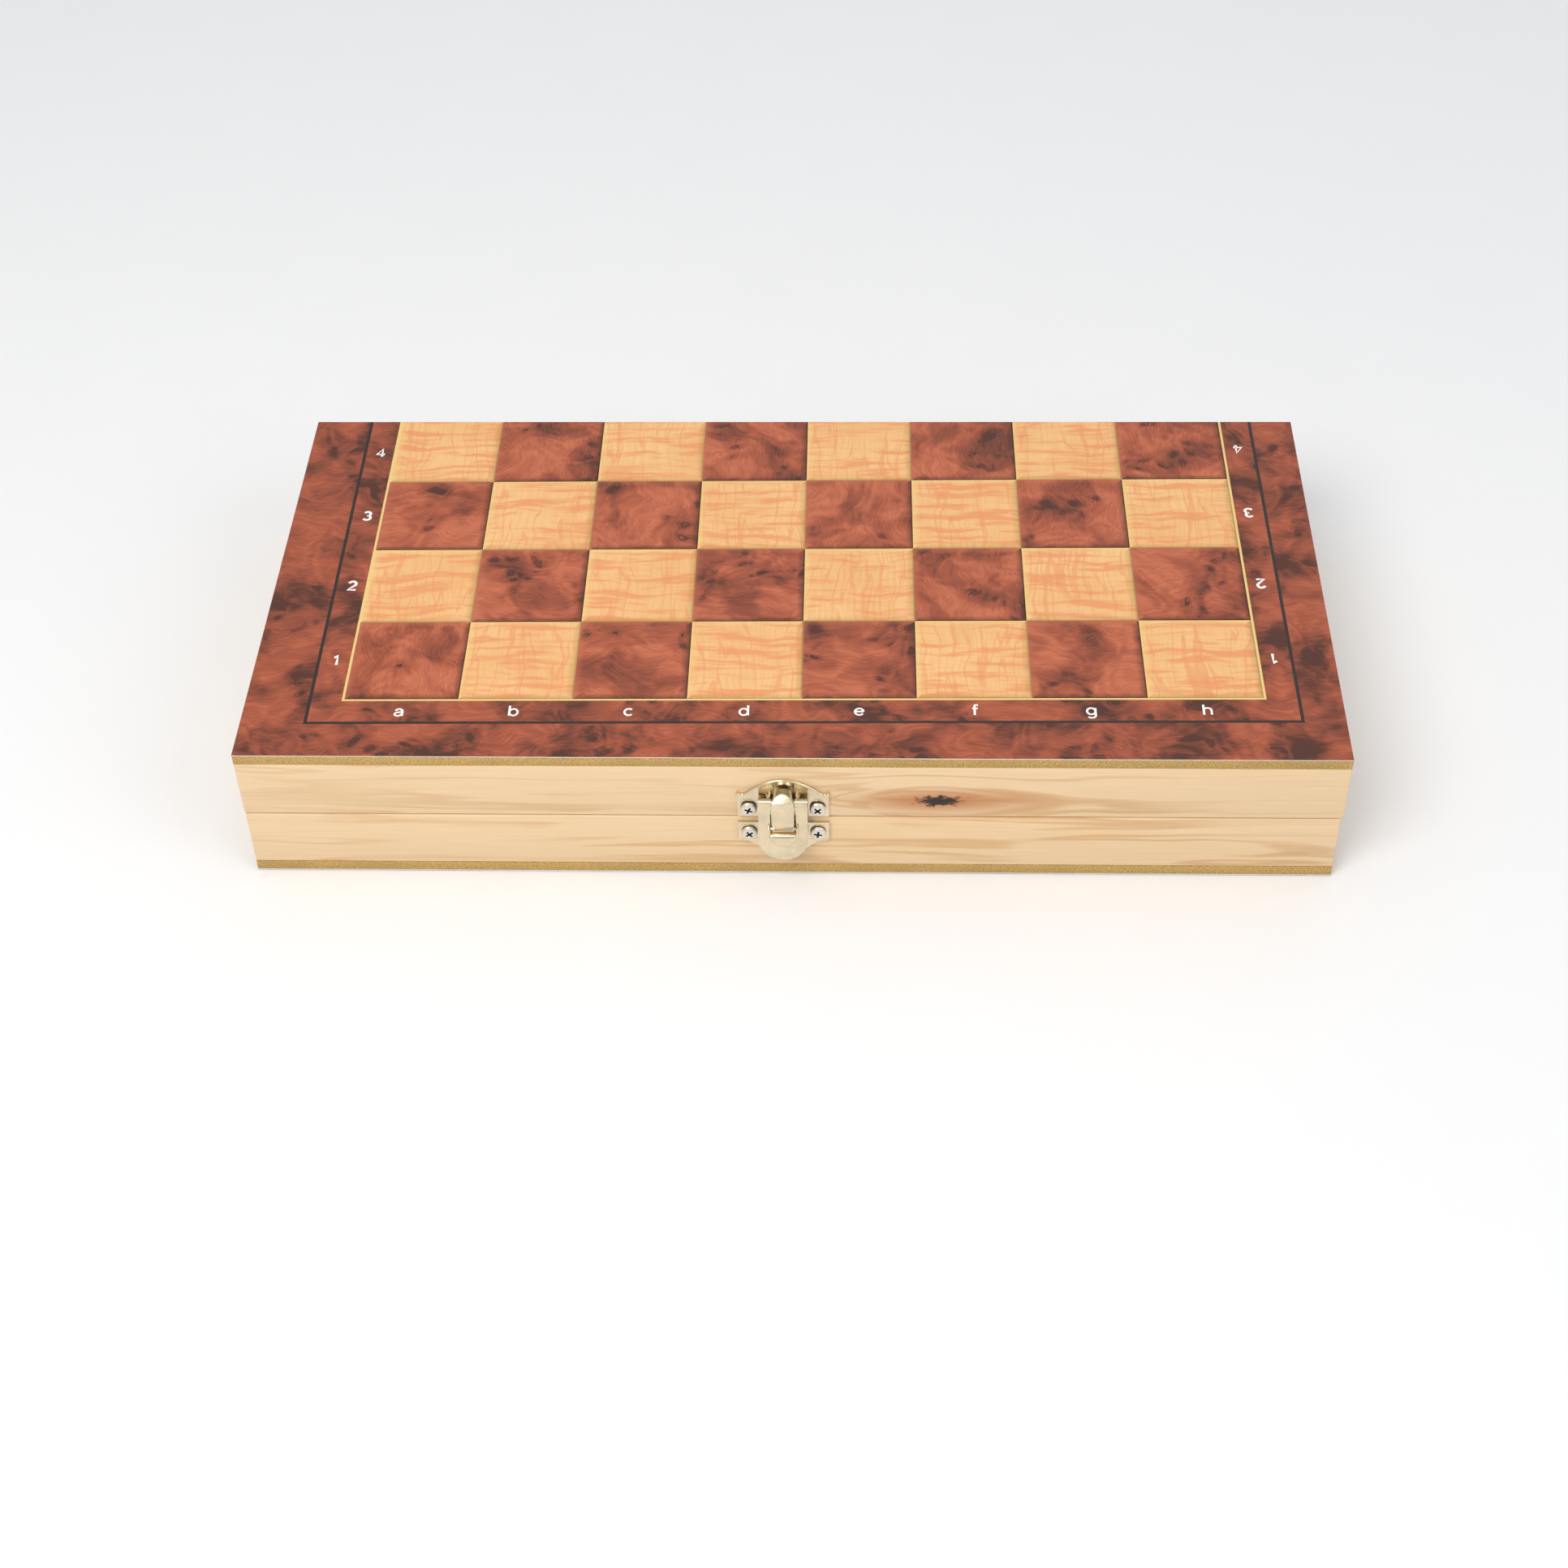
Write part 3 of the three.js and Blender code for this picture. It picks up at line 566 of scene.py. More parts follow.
# ---- Materials of the box ----
def pine_wood(name, box, along, knot=None):
    """Pine with its grain along X or Y, and a knot if one is placed."""
    m = Finish(name)
    place = m.mapped(m.object_place(), (100, 100, 100))  # centimetres from here on
    if knot:
        away = m.vector_math("SUBTRACT", place, (knot[0] * 100, FRONT * 100, knot[1] * 100))
        flat = m.mapped(away, (0.62, 0.0, 2.0))
        reach = m.vector_math("LENGTH", flat)
        pull = m.times(m.spread(reach, 2.2, 0.0), 0.6)
        sides = m.add("SeparateXYZ", {"Vector": away}).outputs["Z"]
        lift = m.times(pull, m.math("TANH", m.times(sides, 8.0)))
        place = m.vector_math("SUBTRACT", place, m.add("CombineXYZ", {"Z": lift}).outputs["Vector"])
    stretch = (0.035, 1.0, 1.0) if along == "X" else (1.0, 0.035, 1.0)
    grain = m.mapped(m.warped(place, 0.16, 0.5), stretch)
    bands = m.noise(grain, 1.3, 2.0, 0.5, 0.2)
    rings = m.waves(bands, 46.0)
    late = m.spread(rings, 0.1, 1.0)
    fine_stretch = (0.5, 14.0, 14.0) if along == "X" else (14.0, 0.5, 14.0)
    fibre = m.noise(m.mapped(place, fine_stretch), 1.0, 3.0, 0.6)
    cloud = m.noise(m.mapped(place, (0.12, 0.5, 0.5)), 1.0, 2.0)
    amount = m.times(late, m.spread(cloud, 0.38, 0.62, 0.12, 0.85))
    tone = m.mix(amount, box.pine, box.pine_streak)
    tone = m.mix(m.spread(cloud, 0.5, 0.75, 0.0, 0.35), tone, (0.76, 0.5, 0.24))
    tone = m.mix(m.spread(fibre, 0.3, 0.8, 0.0, 0.3), tone, (0.9, 0.72, 0.48))
    rough = m.noise(place, 90.0, 2.0, 0.7)
    if knot:
        stain = m.vector_math("LENGTH", m.mapped(away, (0.42, 0.0, 2.4)))
        halo = m.spread(m.plus(stain, m.times(bands, 0.3)), 1.35, 0.35)
        tone = m.mix(m.times(halo, 0.85), tone, (0.52, 0.2, 0.07))
        lumps = m.noise(m.mapped(place, (5.0, 5.0, 16.0)), 1.0, 3.0, 0.7)
        ragged = m.plus(reach, m.swing(lumps, 0.9))
        tone = m.mix(m.spread(ragged, 0.36, 0.2), tone, (0.028, 0.013, 0.009))
    m.bump(m.plus(m.times(fibre, 0.8), m.times(rough, 0.5)), 0.35)
    return m.surface(Base_Color=tone, Roughness=m.spread(fibre, 0.3, 0.7, 0.55, 0.7))


def fibreboard(name, box):
    """Sawn fibreboard: fuzzy, speckled and faintly layered."""
    m = Finish(name)
    place = m.mapped(m.object_place(), (1000, 1000, 1000))  # millimetres from here on
    fuzz = m.noise(place, 2.4, 4.0, 0.7)
    layer = m.noise(m.mapped(place, (0.12, 0.12, 2.2)), 1.0, 2.0)
    patch = m.noise(place, 0.09, 2.0)
    dark = tuple(part * 0.55 for part in box.fibreboard)
    pale = tuple(min(1, part * 1.35) for part in box.fibreboard)
    tone = m.mix(m.spread(fuzz, 0.36, 0.72), dark, pale)
    tone = m.mix(m.spread(layer, 0.35, 0.65, 0.0, 0.4), tone, box.fibreboard)
    tone = m.mix(m.spread(patch, 0.35, 0.7, 0.0, 0.3), tone, dark)
    m.bump(fuzz, 0.8, 0.15 * MM)
    return m.surface(Base_Color=tone, Roughness=0.85)


# ---- Materials of the metal and the men ----
def plated_metal(name, tint, roughness):
    """Polished plating with faint wear."""
    m = Finish(name)
    place = m.object_place()
    haze = m.noise(place, 260.0, 3.0, 0.6)
    rub = m.noise(m.mapped(place, (900, 120, 2400)), 1.0, 2.0)
    tone = m.mix(m.spread(haze, 0.3, 0.7), tint, tuple(part * 0.86 for part in tint))
    rough = m.spread(haze, 0.3, 0.75, roughness, roughness + 0.12)
    m.bump(rub, 0.03)
    return m.surface(Base_Color=tone, Metallic=1.0, Roughness=rough)


def turned_wood(name, tint, streak):
    """Varnished wood of the men, with its grain along each man."""
    m = Finish(name)
    place = m.mapped(m.object_place(), (1000, 1000, 1000))
    grain = m.warped(m.mapped(place, (0.55, 0.05, 0.55)), 1.0, 0.6)
    bands = m.spread(m.waves(m.noise(grain, 0.8, 2.0), 22.0), -0.2, 1.0)
    pores = m.noise(m.mapped(place, (3.2, 0.35, 3.2)), 1.0, 2.0, 0.6)
    tone = m.mix(m.times(bands, 0.4), tint, streak)
    tone = m.mix(m.spread(pores, 0.52, 0.8, 0.0, 0.5), tone, streak)
    m.bump(pores, 0.06)
    material = m.surface(Base_Color=tone, Roughness=0.3)
    m.shader.inputs["Coat Weight"].default_value = 0.5
    m.shader.inputs["Coat Roughness"].default_value = 0.12
    return material


def felt_cloth(name, tint):
    """Short felt under a foot."""
    m = Finish(name)
    fuzz = m.noise(m.mapped(m.object_place(), (1000, 1000, 1000)), 5.0, 3.0, 0.8)
    tone = m.mix(m.spread(fuzz, 0.3, 0.7), tint, tuple(min(1, part * 1.8) for part in tint))
    m.bump(fuzz, 0.8)
    material = m.surface(Base_Color=tone, Roughness=0.95)
    m.shader.inputs["Sheen Weight"].default_value = 0.5
    return material


def painted_shade_metal(name):
    """Painted shade inside a screw's cross: near-black metal that stands in for the recess's shadow."""
    m = Finish(name)
    speck = m.noise(m.object_place(), 4000.0, 2.0)
    tone = m.mix(speck, (0.012, 0.009, 0.006), (0.05, 0.04, 0.03))
    return m.surface(Base_Color=tone, Metallic=0.3, Roughness=0.6)


def shared(name, make, *details):
    """A material made once and used by several pieces."""
    return bpy.data.materials.get(name) or make(name, *details)


def plating(context):
    """The pale gold plating of latch and hinges."""
    metal = context.scene.chess_metal
    return shared("pale_gold_plating", plated_metal, metal.plating, metal.roughness)


def bright_steel(context):
    """The brighter metal of screws and pins."""
    metal = context.scene.chess_metal
    return shared("bright_steel", plated_metal, metal.steel, metal.roughness + 0.04)


# ---- The printed field ----
def print_edges(field):
    """Left, right and front edge of the squares, in the print's own turned frame."""
    half = 4 * field.square_width
    return field.shift - half, field.shift + half, FRONT + field.front_border


def print_axes(field):
    """Cut places of the print across and along."""
    left, right, start = print_edges(field)
    across = [left + field.square_width * step for step in range(9)]
    along = [start + field.square_depth * step for step in range(4)]
    outer = field.inlay_gap + field.inlay_line
    across += [left - field.frame_line, right + field.frame_line]
    across += [left - field.inlay_gap, left - outer, right + field.inlay_gap, right + outer]
    along += [start - field.frame_line, start - field.inlay_gap, start - outer]
    return across, along


def print_turn(field, flip):
    """From the frame to the print's own axes: undoes its turn, and its flip on the lower half."""
    turn = Matrix.Rotation(-field.turn, 4, "Z")
    if flip:
        turn = turn @ Matrix.Rotation(math.pi, 4, "Y")
    return turn


def field_zone(point, field):
    """What is printed at a point: a square with its column and row, a line or the border."""
    left, right, start = print_edges(field)
    u, v = point.x, point.y
    if left < u < right and v > start:
        column = int((u - left) / field.square_width)
        row = int((v - start) / field.square_depth)
        return ("dark" if (column + row) % 2 == 0 else "light"), column, row
    outside = max(left - u, u - right, start - v)
    if outside < field.frame_line:
        return "frame_line", 0, 0
    if field.inlay_gap < outside < field.inlay_gap + field.inlay_line:
        return "ink_line", 0, 0
    return ("border" if outside > field.inlay_gap else "inner_border"), 0, 0


def cut_print(sheet, field, to_print):
    """Bisects the sheet along every printed line, then insets the squares for their edges."""
    back = to_print.inverted()
    across, along = print_axes(field)
    for places, normal in ((across, Vector((1, 0, 0))), (along, Vector((0, 1, 0)))):
        for distance in places:
            edit(sheet)
            bpy.ops.mesh.bisect(plane_co=back @ (normal * distance), plane_no=back.to_3x3() @ normal)

    def is_square(face):
        outside = (to_print.to_3x3() @ face.normal).z > 0.9
        return outside and field_zone(to_print @ face.calc_center_median(), field)[0] in ("dark", "light")

    pick(sheet, is_square)
    for width in (field.edge_hard, field.edge_soft):
        bpy.ops.mesh.inset(thickness=width, depth=0, use_individual=True, use_boundary=True)
    object_mode()


def shade_edges(sheet, field, to_print):
    """Writes how lit or shaded each square's edge bands are."""
    edge = sheet.data.attributes.new(EDGE, "FLOAT", "CORNER")
    left, _, start = print_edges(field)
    band = field.edge_hard + field.edge_soft
    limit = (to_print @ Vector((0, BACK, 0))).y
    for face in sheet.data.polygons:
        middle = to_print @ face.center
        zone, column, row = field_zone(middle, field)
        if (to_print.to_3x3() @ face.normal).z < 0.9 or zone not in ("dark", "light"):
            continue
        low_u = left + column * field.square_width
        low_v = start + row * field.square_depth
        high_u = low_u + field.square_width
        high_v = min(low_v + field.square_depth, limit)

        def side_gaps(point):
            return {
                "left": point.x - low_u,
                "right": high_u - point.x,
                "near": point.y - low_v,
                "far": high_v - point.y,
            }

        gaps = side_gaps(middle)
        side = min(gaps, key=gaps.get)
        if gaps[side] > band or (side == "far" and high_v == limit):
            continue
        lit = side in ("left", "far")
        for loop in face.loop_indices:
            corner = to_print @ sheet.data.vertices[sheet.data.loops[loop].vertex_index].co
            gap = max(side_gaps(corner)[side], 0.0)
            edge.data[loop].value = edge_amount(gap, field, lit, zone)


def edge_amount(gap, field, lit, zone):
    """How strong an edge is at a distance in from it."""
    strengths = {
        ("dark", True): (0.55, 0.3),
        ("dark", False): (-1.0, -0.5),
        ("light", True): (0.8, 0.45),
        ("light", False): (-0.8, -0.3),
    }
    outer, inner = strengths[zone, lit]
    if gap < field.edge_hard * 0.5:
        return outer
    return inner if gap < field.edge_hard + field.edge_soft * 0.5 else 0.0


def map_grain(sheet, field, to_print, seed):
    """Lays the veneer: each square starts somewhere of its own, and a dark one is also turned."""
    layer = sheet.data.uv_layers.new(name=GRAIN)
    dice = random.Random(seed)
    starts = {}
    for column in range(8):
        for row in range(5):
            starts[column, row] = (dice.uniform(*FIGURE), dice.uniform(*FIGURE), dice.randrange(4))
    for face in sheet.data.polygons:
        zone, column, row = field_zone(to_print @ face.center, field)
        for loop in face.loop_indices:
            spot = to_print @ sheet.data.vertices[sheet.data.loops[loop].vertex_index].co
            u, v = spot.x / GRAIN_UNIT, spot.y / GRAIN_UNIT
            if zone in ("dark", "light"):
                du, dv, quarter = starts[column, row]
                if zone == "dark":
                    for _ in range(quarter):
                        u, v = -v, u
                u, v = u + du, v + dv
            elif zone == "border":
                u = u + BORDER_START + seed
            layer.data[loop].uv = (u, v)


# Strokes of the plain letters and numbers, in units of a small letter's height.
GLYPHS = {
    "a": [
        bow(0.0, 0.6, 0.34, 0.36, 160, 0) + [(0.34, 0.1), (0.42, 0.03)],
        [(0.34, 0.58), (0.0, 0.52)] + bow(-0.06, 0.27, 0.32, 0.25, 110, 300) + [(0.22, 0.14), (0.34, 0.34)],
    ],
    "b": [[(-0.4, 0.02), (-0.4, 1.4)], bow(0.0, 0.5, 0.4, 0.46, 0, 360, 16)],
    "c": [bow(0.02, 0.5, 0.4, 0.46, 42, 318, 14)],
    "d": [[(0.4, 0.02), (0.4, 1.4)], bow(0.0, 0.5, 0.4, 0.46, 0, 360, 16)],
    "e": [[(-0.4, 0.53), (0.4, 0.53)], bow(0.0, 0.5, 0.41, 0.46, 4, 325, 16)],
    "f": [
        [(0.3, 1.38), (0.16, 1.4)] + bow(0.1, 1.24, 0.14, 0.16, 100, 180, 4) + [(-0.04, 0.02)],
        [(-0.26, 0.94), (0.26, 0.94)],
    ],
    "g": [
        bow(0.0, 0.52, 0.4, 0.44, 0, 360, 16),
        [(0.4, 0.96), (0.4, 0.0)] + bow(0.02, -0.06, 0.38, 0.34, 0, -150, 8),
    ],
    "h": [
        [(-0.36, 0.02), (-0.36, 1.4)],
        [(-0.36, 0.6)] + bow(0.0, 0.62, 0.36, 0.34, 160, 0) + [(0.36, 0.02)],
    ],
    "1": [[(-0.22, 1.08), (0.02, 1.24), (0.1, 1.38), (0.1, 0.04)]],
    "2": [bow(0.0, 1.0, 0.36, 0.38, 165, -30, 9) + [(-0.38, 0.08), (0.42, 0.08)]],
    "3": [bow(-0.02, 1.04, 0.32, 0.32, 155, -80, 9) + bow(-0.02, 0.4, 0.38, 0.36, 85, -155, 10)],
    "4": [[(0.16, 0.04), (0.16, 1.34), (-0.42, 0.42), (0.44, 0.42)]],
    "5": [[(0.36, 1.34), (-0.22, 1.34), (-0.32, 0.74)] + bow(0.0, 0.46, 0.4, 0.42, 120, -150, 12)],
    "6": [bow(0.02, 0.98, 0.36, 0.4, 25, 130, 6) + [(-0.38, 0.7)], bow(0.0, 0.46, 0.38, 0.42, 0, 360, 16)],
    "7": [[(-0.4, 1.34), (0.4, 1.34), (0.12, 0.84), (-0.06, 0.04)]],
    "8": [bow(0.0, 1.06, 0.3, 0.3, 0, 360, 14), bow(0.0, 0.4, 0.38, 0.38, 0, 360, 16)],
}
NUMBER_HEIGHT = 1.4  # in the same units
INK_DEPTH = 0.012 * MM  # how far the lettering's ink stands off the sheet


def stroked(mark, unit, weight, place):
    """A letter or number as flattened round-ended strokes, put where a matrix says."""
    strokes = []
    for number, stroke in enumerate(GLYPHS[mark]):
        sink = -0.05 * weight * number  # so that crossing strokes never lie in one surface
        points = [Vector((x * unit, y * unit, sink)) for x, y in stroke]
        strokes.append(tube(f"stroke_{number}", points, weight / 2, 1))
    glyph = merged(strokes[0], strokes[1:]) if len(strokes) > 1 else strokes[0]
    glyph.data.transform(place @ Matrix.Diagonal((1, 1, 2 * INK_DEPTH / weight, 1)))
    return glyph


def lettered(field, to_print, letters, numbers, surface):
    """Letters in front of the columns, numbers beside the rows, printed on the field."""
    back = to_print.inverted()
    left, right, start = print_edges(field)
    unit = field.letter_height
    made = []

    def put(mark, u, v, turn, weight):
        spot = back @ Vector((u, v, 0))
        spot.z = surface
        turned = back.to_3x3().to_4x4() @ Matrix.Rotation(turn, 4, "Z")
        made.append(stroked(mark, unit, weight, Matrix.Translation(spot) @ turned))

    for column, letter in enumerate(letters):
        u = left + (column + 0.5) * field.square_width
        put(letter, u, start - field.letter_drop, 0, field.letter_weight)
    for row, number in enumerate(numbers):
        v = start + (row + 0.5) * field.square_depth
        if row == 3:
            v = (start + 3 * field.square_depth + BACK) / 2
        half = NUMBER_HEIGHT / 2 * unit
        put(number, left - field.number_gap, v - half, 0, field.number_weight)
        put(number, right + field.number_gap, v + half, math.pi, field.number_weight)
    return merged(made[0], made[1:])


class FIELD_OT_print(bpy.types.Operator):
    """Prints the playing field on both panels"""

    bl_idname = "chess.playing_field"
    bl_label = "Playing Field"

    def execute(self, context):
        field = context.scene.chess_field
        materials = {
            "dark": burl_print("burl_squares", field, 0.03),
            "light": maple_print("maple_squares", field),
            "border": burl_print("burl_border", field, -0.17),
            "frame_line": plain_print("pale_line", field.pale_line),
            "ink_line": plain_print("ink_line", field.ink),
            "inner_border": None,
            "paper": plain_print("paper_edge", (0.85, 0.83, 0.78)),
            "letters": plain_print("white_lettering", field.lettering, 0.04),
        }
        slots = [m for m in materials.values() if m]
        order = {zone: slots.index(m) for zone, m in materials.items() if m}
        order["inner_border"] = order["border"]
        for half, body, letters, numbers in (
            ("upper", "upper_half", "abcdefgh", "1234"),
            ("lower", "lower_half", "hgfedcba", "8765"),
        ):
            flip = half == "lower"
            node = half + "_printed_sheet"
            low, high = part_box(node)
            if flip:
                low.z += INK_DEPTH
            else:
                high.z -= INK_DEPTH
            to_print = print_turn(field, flip)
            sheet = add_block(half + "_field_sheet", low, high)
            cut_print(sheet, field, to_print)
            map_grain(sheet, field, to_print, 11 if flip else 4)
            shade_edges(sheet, field, to_print)
            for material in slots:
                sheet.data.materials.append(material)
            for face in sheet.data.polygons:
                outside = (to_print.to_3x3() @ face.normal).z > 0.9
                zone = field_zone(to_print @ face.center, field)[0] if outside else "paper"
                face.material_index = order[zone]
            place_piece(sheet, body, [node], "field_print")
            surface = low.z if flip else high.z
            text = lettered(field, to_print, letters, numbers, surface)
            text.name = text.data.name = half + "_field_lettering"
            place_piece(text, body, [], "field_print", materials["letters"])
        return {"FINISHED"}


# ---- The box ----
class BOX_OT_panels(bpy.types.Operator):
    """Makes the two fibreboard panels"""

    bl_idname = "chess.panels"
    bl_label = "Panels"

    def execute(self, context):
        box = context.scene.chess_box
        board = fibreboard("fibreboard", box)
        for half in ("upper", "lower"):
            node = half + "_panel"
            panel = add_block(half + "_board_panel", *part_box(node))
            ease(panel, box.panel_edge, 2)
            place_piece(smooth(panel), half + "_half", [node], "fibreboard", board)
        return {"FINISHED"}


class BOX_OT_rails(bpy.types.Operator):
    """Makes the eight pine rails, with recesses for the hinges at the back"""

    bl_idname = "chess.rails"
    bl_label = "Rails"

    def execute(self, context):
        box = context.scene.chess_box
        knotty = pine_wood("pine_with_knot", box, "X", (box.knot_x, box.knot_height))
        along = pine_wood("pine_along", box, "X")
        across = pine_wood("pine_across", box, "Y")
        for half in ("upper", "lower"):
            for side in ("front", "back", "left", "right"):
                node = f"{half}_{side}_rail"
                if side == "back":
                    rail = finished_copy(node, f"{half}_{side}_pine_rail")
                else:
                    rail = add_block(f"{half}_{side}_pine_rail", *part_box(node))
                ease(rail, box.rail_edge)
                wood = along if side in ("front", "back") else across
                if (half, side) == ("upper", "front"):
                    wood = knotty
                place_piece(smooth(rail), half + "_half", [node], "pine", wood)
        return {"FINISHED"}


# ---- The latch: sizes in mm round its middle, heights from the parting, depths off the front ----
LEVER_PIN = (2.1, 6.3)
HOOK_PIN = (3.0, -0.8)
SCREW_PLACES = {"strike": 3.2, "base": -4.1}
SCREW_SIDE = 7.5
HOOD_CENTRE = 7.55
HOOD_BORE = 2.78
FILLET = 1.1  # width of the sloped band along the arch
RISER_HALF = 3.2
NECK_HALF = 1.95  # the base's middle knuckle, between the lever's two
KNUCKLE_RADIUS = 0.95
LEVER_HALF = 5.35
LEVER_GAP = 2.55  # half the space between the lever's knuckles
SLOT_HALF = 2.8
SLOT_TOP = 4.87
# Heights from which the lever's finger end bends out further, each with its step.
FINGER_BENDS = ((-5.4, 0.05), (-6.2, 0.1), (-7.0, 0.14), (-7.8, 0.16), (-8.6, 0.16), (-9.3, 0.1))
CUP_MOUTH = -1.75  # top of the front wall of the lever's cup
CUP_STEPS = (1.0, 0.98, 0.93, 0.86, 0.76, 0.64, 0.5, 0.35, 0.18)
HOOK_BORE = 0.47
HOOK_BORE_HALF = 3.2  # it stops inside the cup's cheeks
THROUGH = 6  # past both faces or sides of any latch piece


def at_latch(x, depth, height):
    """A point of the latch, from mm across, off the front face and up from the parting."""
    return LATCH + Vector((x * MM, -depth * MM, height * MM))


def latch_block(name, x0, x1, near, far, bottom, top):
    """A block of the latch between two depths and two heights."""
    return add_block(name, at_latch(x0, far, bottom), at_latch(x1, near, top))


def latch_rod(name, radius, x0, x1, place, sides=32):
    """A rod across the latch."""
    return add_rod(name, radius * MM, at_latch(x0, *place), at_latch(x1, *place), sides)


def cut_screw_holes(piece, height):
    """Drills the two screw holes of a latch plate."""
    for side in (-SCREW_SIDE, SCREW_SIDE):
        ends = at_latch(side, -THROUGH, height), at_latch(side, THROUGH, height)
        drill = add_rod("drill", 1.0 * MM, *ends, 20)
        cut(piece, drill)


def push_out(piece, test, amount):
    """Moves the picked vertices away from the box, by mm."""
    pick(piece, test, "VERT")
    bpy.ops.transform.translate(value=(0, -amount * MM, 0))
    object_mode()


def tube(name, points, radius, sides=3):
    """A round wire along a line of points."""
    traced(name, points, fill=False)
    object_mode()
    bpy.ops.object.convert(target="CURVE")
    wire = bpy.context.active_object
    wire.data.bevel_depth = radius
    wire.data.bevel_resolution = sides
    wire.data.use_fill_caps = True
    bpy.ops.object.convert(target="MESH")
    wire = settled(name)
    return outward(wire)


def arch_points():
    """The strike plate's top edge, from its right horn over the crown to its left horn."""
    crown, shoulder, half = 11.6, 7.35, 8.5
    points = [(9.95, 7.95), (9.75, 7.6), (9.35, 7.33), (8.9, 7.25)]
    for step in range(25):
        x = half - 2 * half * step / 24
        rise = 1 - (x / half) ** 2
        points.append((x, shoulder + (crown - shoulder) * (0.86 * rise + 0.14 * rise**2)))
    return points + [(-8.9, 7.25), (-9.35, 7.33), (-9.75, 7.6), (-9.95, 7.95)]


def spun_hood():
    """The pressed hood over the hook's nose: half a ring that flares into the plate."""
    rim = [(HOOD_BORE, 0.4), (HOOD_BORE, 1.55), (2.86, 1.74), (3.0, 1.8), (3.12, 1.68)]
    rim += [(3.16, 1.3), (3.22, 0.95), (3.4, 0.72), (3.7, 0.6), (3.7, 0.4)]
    skirt = 0.55 * MM
    points = [at_latch(radius, depth, HOOD_CENTRE) for radius, depth in rim]
    hood = traced("hood", points + points[:1], fill=False)
    axis = at_latch(0, 0, HOOD_CENTRE)
    bpy.ops.mesh.spin(steps=24, angle=math.pi, center=axis, axis=(0, -1, 0))
    bpy.ops.mesh.select_all(action="SELECT")
    bpy.ops.mesh.remove_doubles(threshold=1e-7)
    bpy.ops.mesh.fill_holes(sides=0)
    object_mode()
    outward(hood)
    pick(hood, lambda face: abs(face.normal.z) > 0.99 and face.calc_center_median().z < axis.z + 1e-5)
    extrude((0, 0, -skirt))
    object_mode()
    return outward(hood)


class LATCH_OT_strike(bpy.types.Operator):
    """Makes the strike plate with its rolled arch and pressed hood"""

    bl_idname = "chess.strike_plate"
    bl_label = "Strike Plate"

    def execute(self, context):
        arch = arch_points()
        outline = [(-9.95, 0.75), (-9.8, 0.6), (9.8, 0.6), (9.95, 0.75)] + arch
        metal = plate("strike_plate", outline, 0.0, 0.55)
        weld(metal, self.fillet(arch))
        bead = tube("bead", [at_latch(x, 0.75, z) for x, z in arch], 0.3 * MM)
        weld(metal, spun_hood())
        weld(metal, bead)
        ends = at_latch(0, 0.56, HOOD_CENTRE), at_latch(0, 3, HOOD_CENTRE)
        opening = add_rod("opening", HOOD_BORE * MM, *ends, 48)
        cut(metal, opening)
        cut_screw_holes(metal, SCREW_PLACES["strike"])
        smooth(outward(metal), 40)
        place_piece(metal, "upper_half", ["latch_strike_plate"], "plated_steel", plating(context))
        return {"FINISHED"}

    def fillet(self, arch):
        """The sloped band along the arch, up which the plate turns into its rolled edge."""
        foot = [(x * 0.97, z - FILLET) for x, z in reversed(arch)]
        band = plate("band", arch + foot, 0.3, 0.75)

        def at_foot(vertex):
            x, z = (vertex.co.x - LATCH.x) / MM, (vertex.co.z - LATCH.z) / MM
            front = vertex.co.y < FRONT - 0.5 * MM
            return front and any(abs(x - a) < 0.01 and abs(z - b) < 0.01 for a, b in foot)

        push_out(band, at_foot, -0.2)
        return band


class LATCH_OT_base(bpy.types.Operator):
    """Makes the base plate with the riser that carries the lever's pin"""

    bl_idname = "chess.base_plate"
    bl_label = "Base Plate"

    def execute(self, context):
        half = [(10.0, -1.1), (10.0, -6.4), (9.85, -6.75), (9.5, -6.9), (8.2, -7.0), (7.3, -7.3)]
        half += [(6.1, -8.15), (5.3, -8.9), (4.5, -9.35), (3.6, -9.5)]
        outline = half + [(-x, z) for x, z in reversed(half)]
        metal = plate("base_plate", outline, 0.0, 0.7)
        pick(metal, lambda face: face.normal.y < -0.9)
        bpy.ops.mesh.inset(thickness=0.7 * MM, depth=0)
        object_mode()
        top = at_latch(0, 0, -1.15).z
        push_out(metal, lambda vertex: vertex.co.z > top and vertex.co.y < FRONT - 0.6 * MM, 0.1)
        ease(metal, 0.14 * MM, 2, 50)
        knee = latch_block("knee", -RISER_HALF, RISER_HALF, 0.1, 1.7, -2.7, -1.1)
        weld(metal, ease(knee, 0.3 * MM))
        riser = latch_block("riser", -RISER_HALF, RISER_HALF, 1.1, 1.7, -2.7, 5.0)
        weld(metal, ease(riser, 0.15 * MM))
        neck = latch_block("neck", -NECK_HALF, NECK_HALF, 1.1, 1.7, 4.5, LEVER_PIN[1])
        weld(metal, neck)
        knuckle = latch_rod("knuckle", KNUCKLE_RADIUS, -NECK_HALF, NECK_HALF, LEVER_PIN)
        weld(metal, ease(knuckle, 0.12 * MM, 2))
        cut(metal, latch_rod("bore", 0.57, -THROUGH, THROUGH, LEVER_PIN))
        cut_screw_holes(metal, SCREW_PLACES["base"])
        smooth(outward(metal), 40)
        place_piece(metal, "lower_half", ["latch_base_plate"], "plated_steel", plating(context))
        return {"FINISHED"}


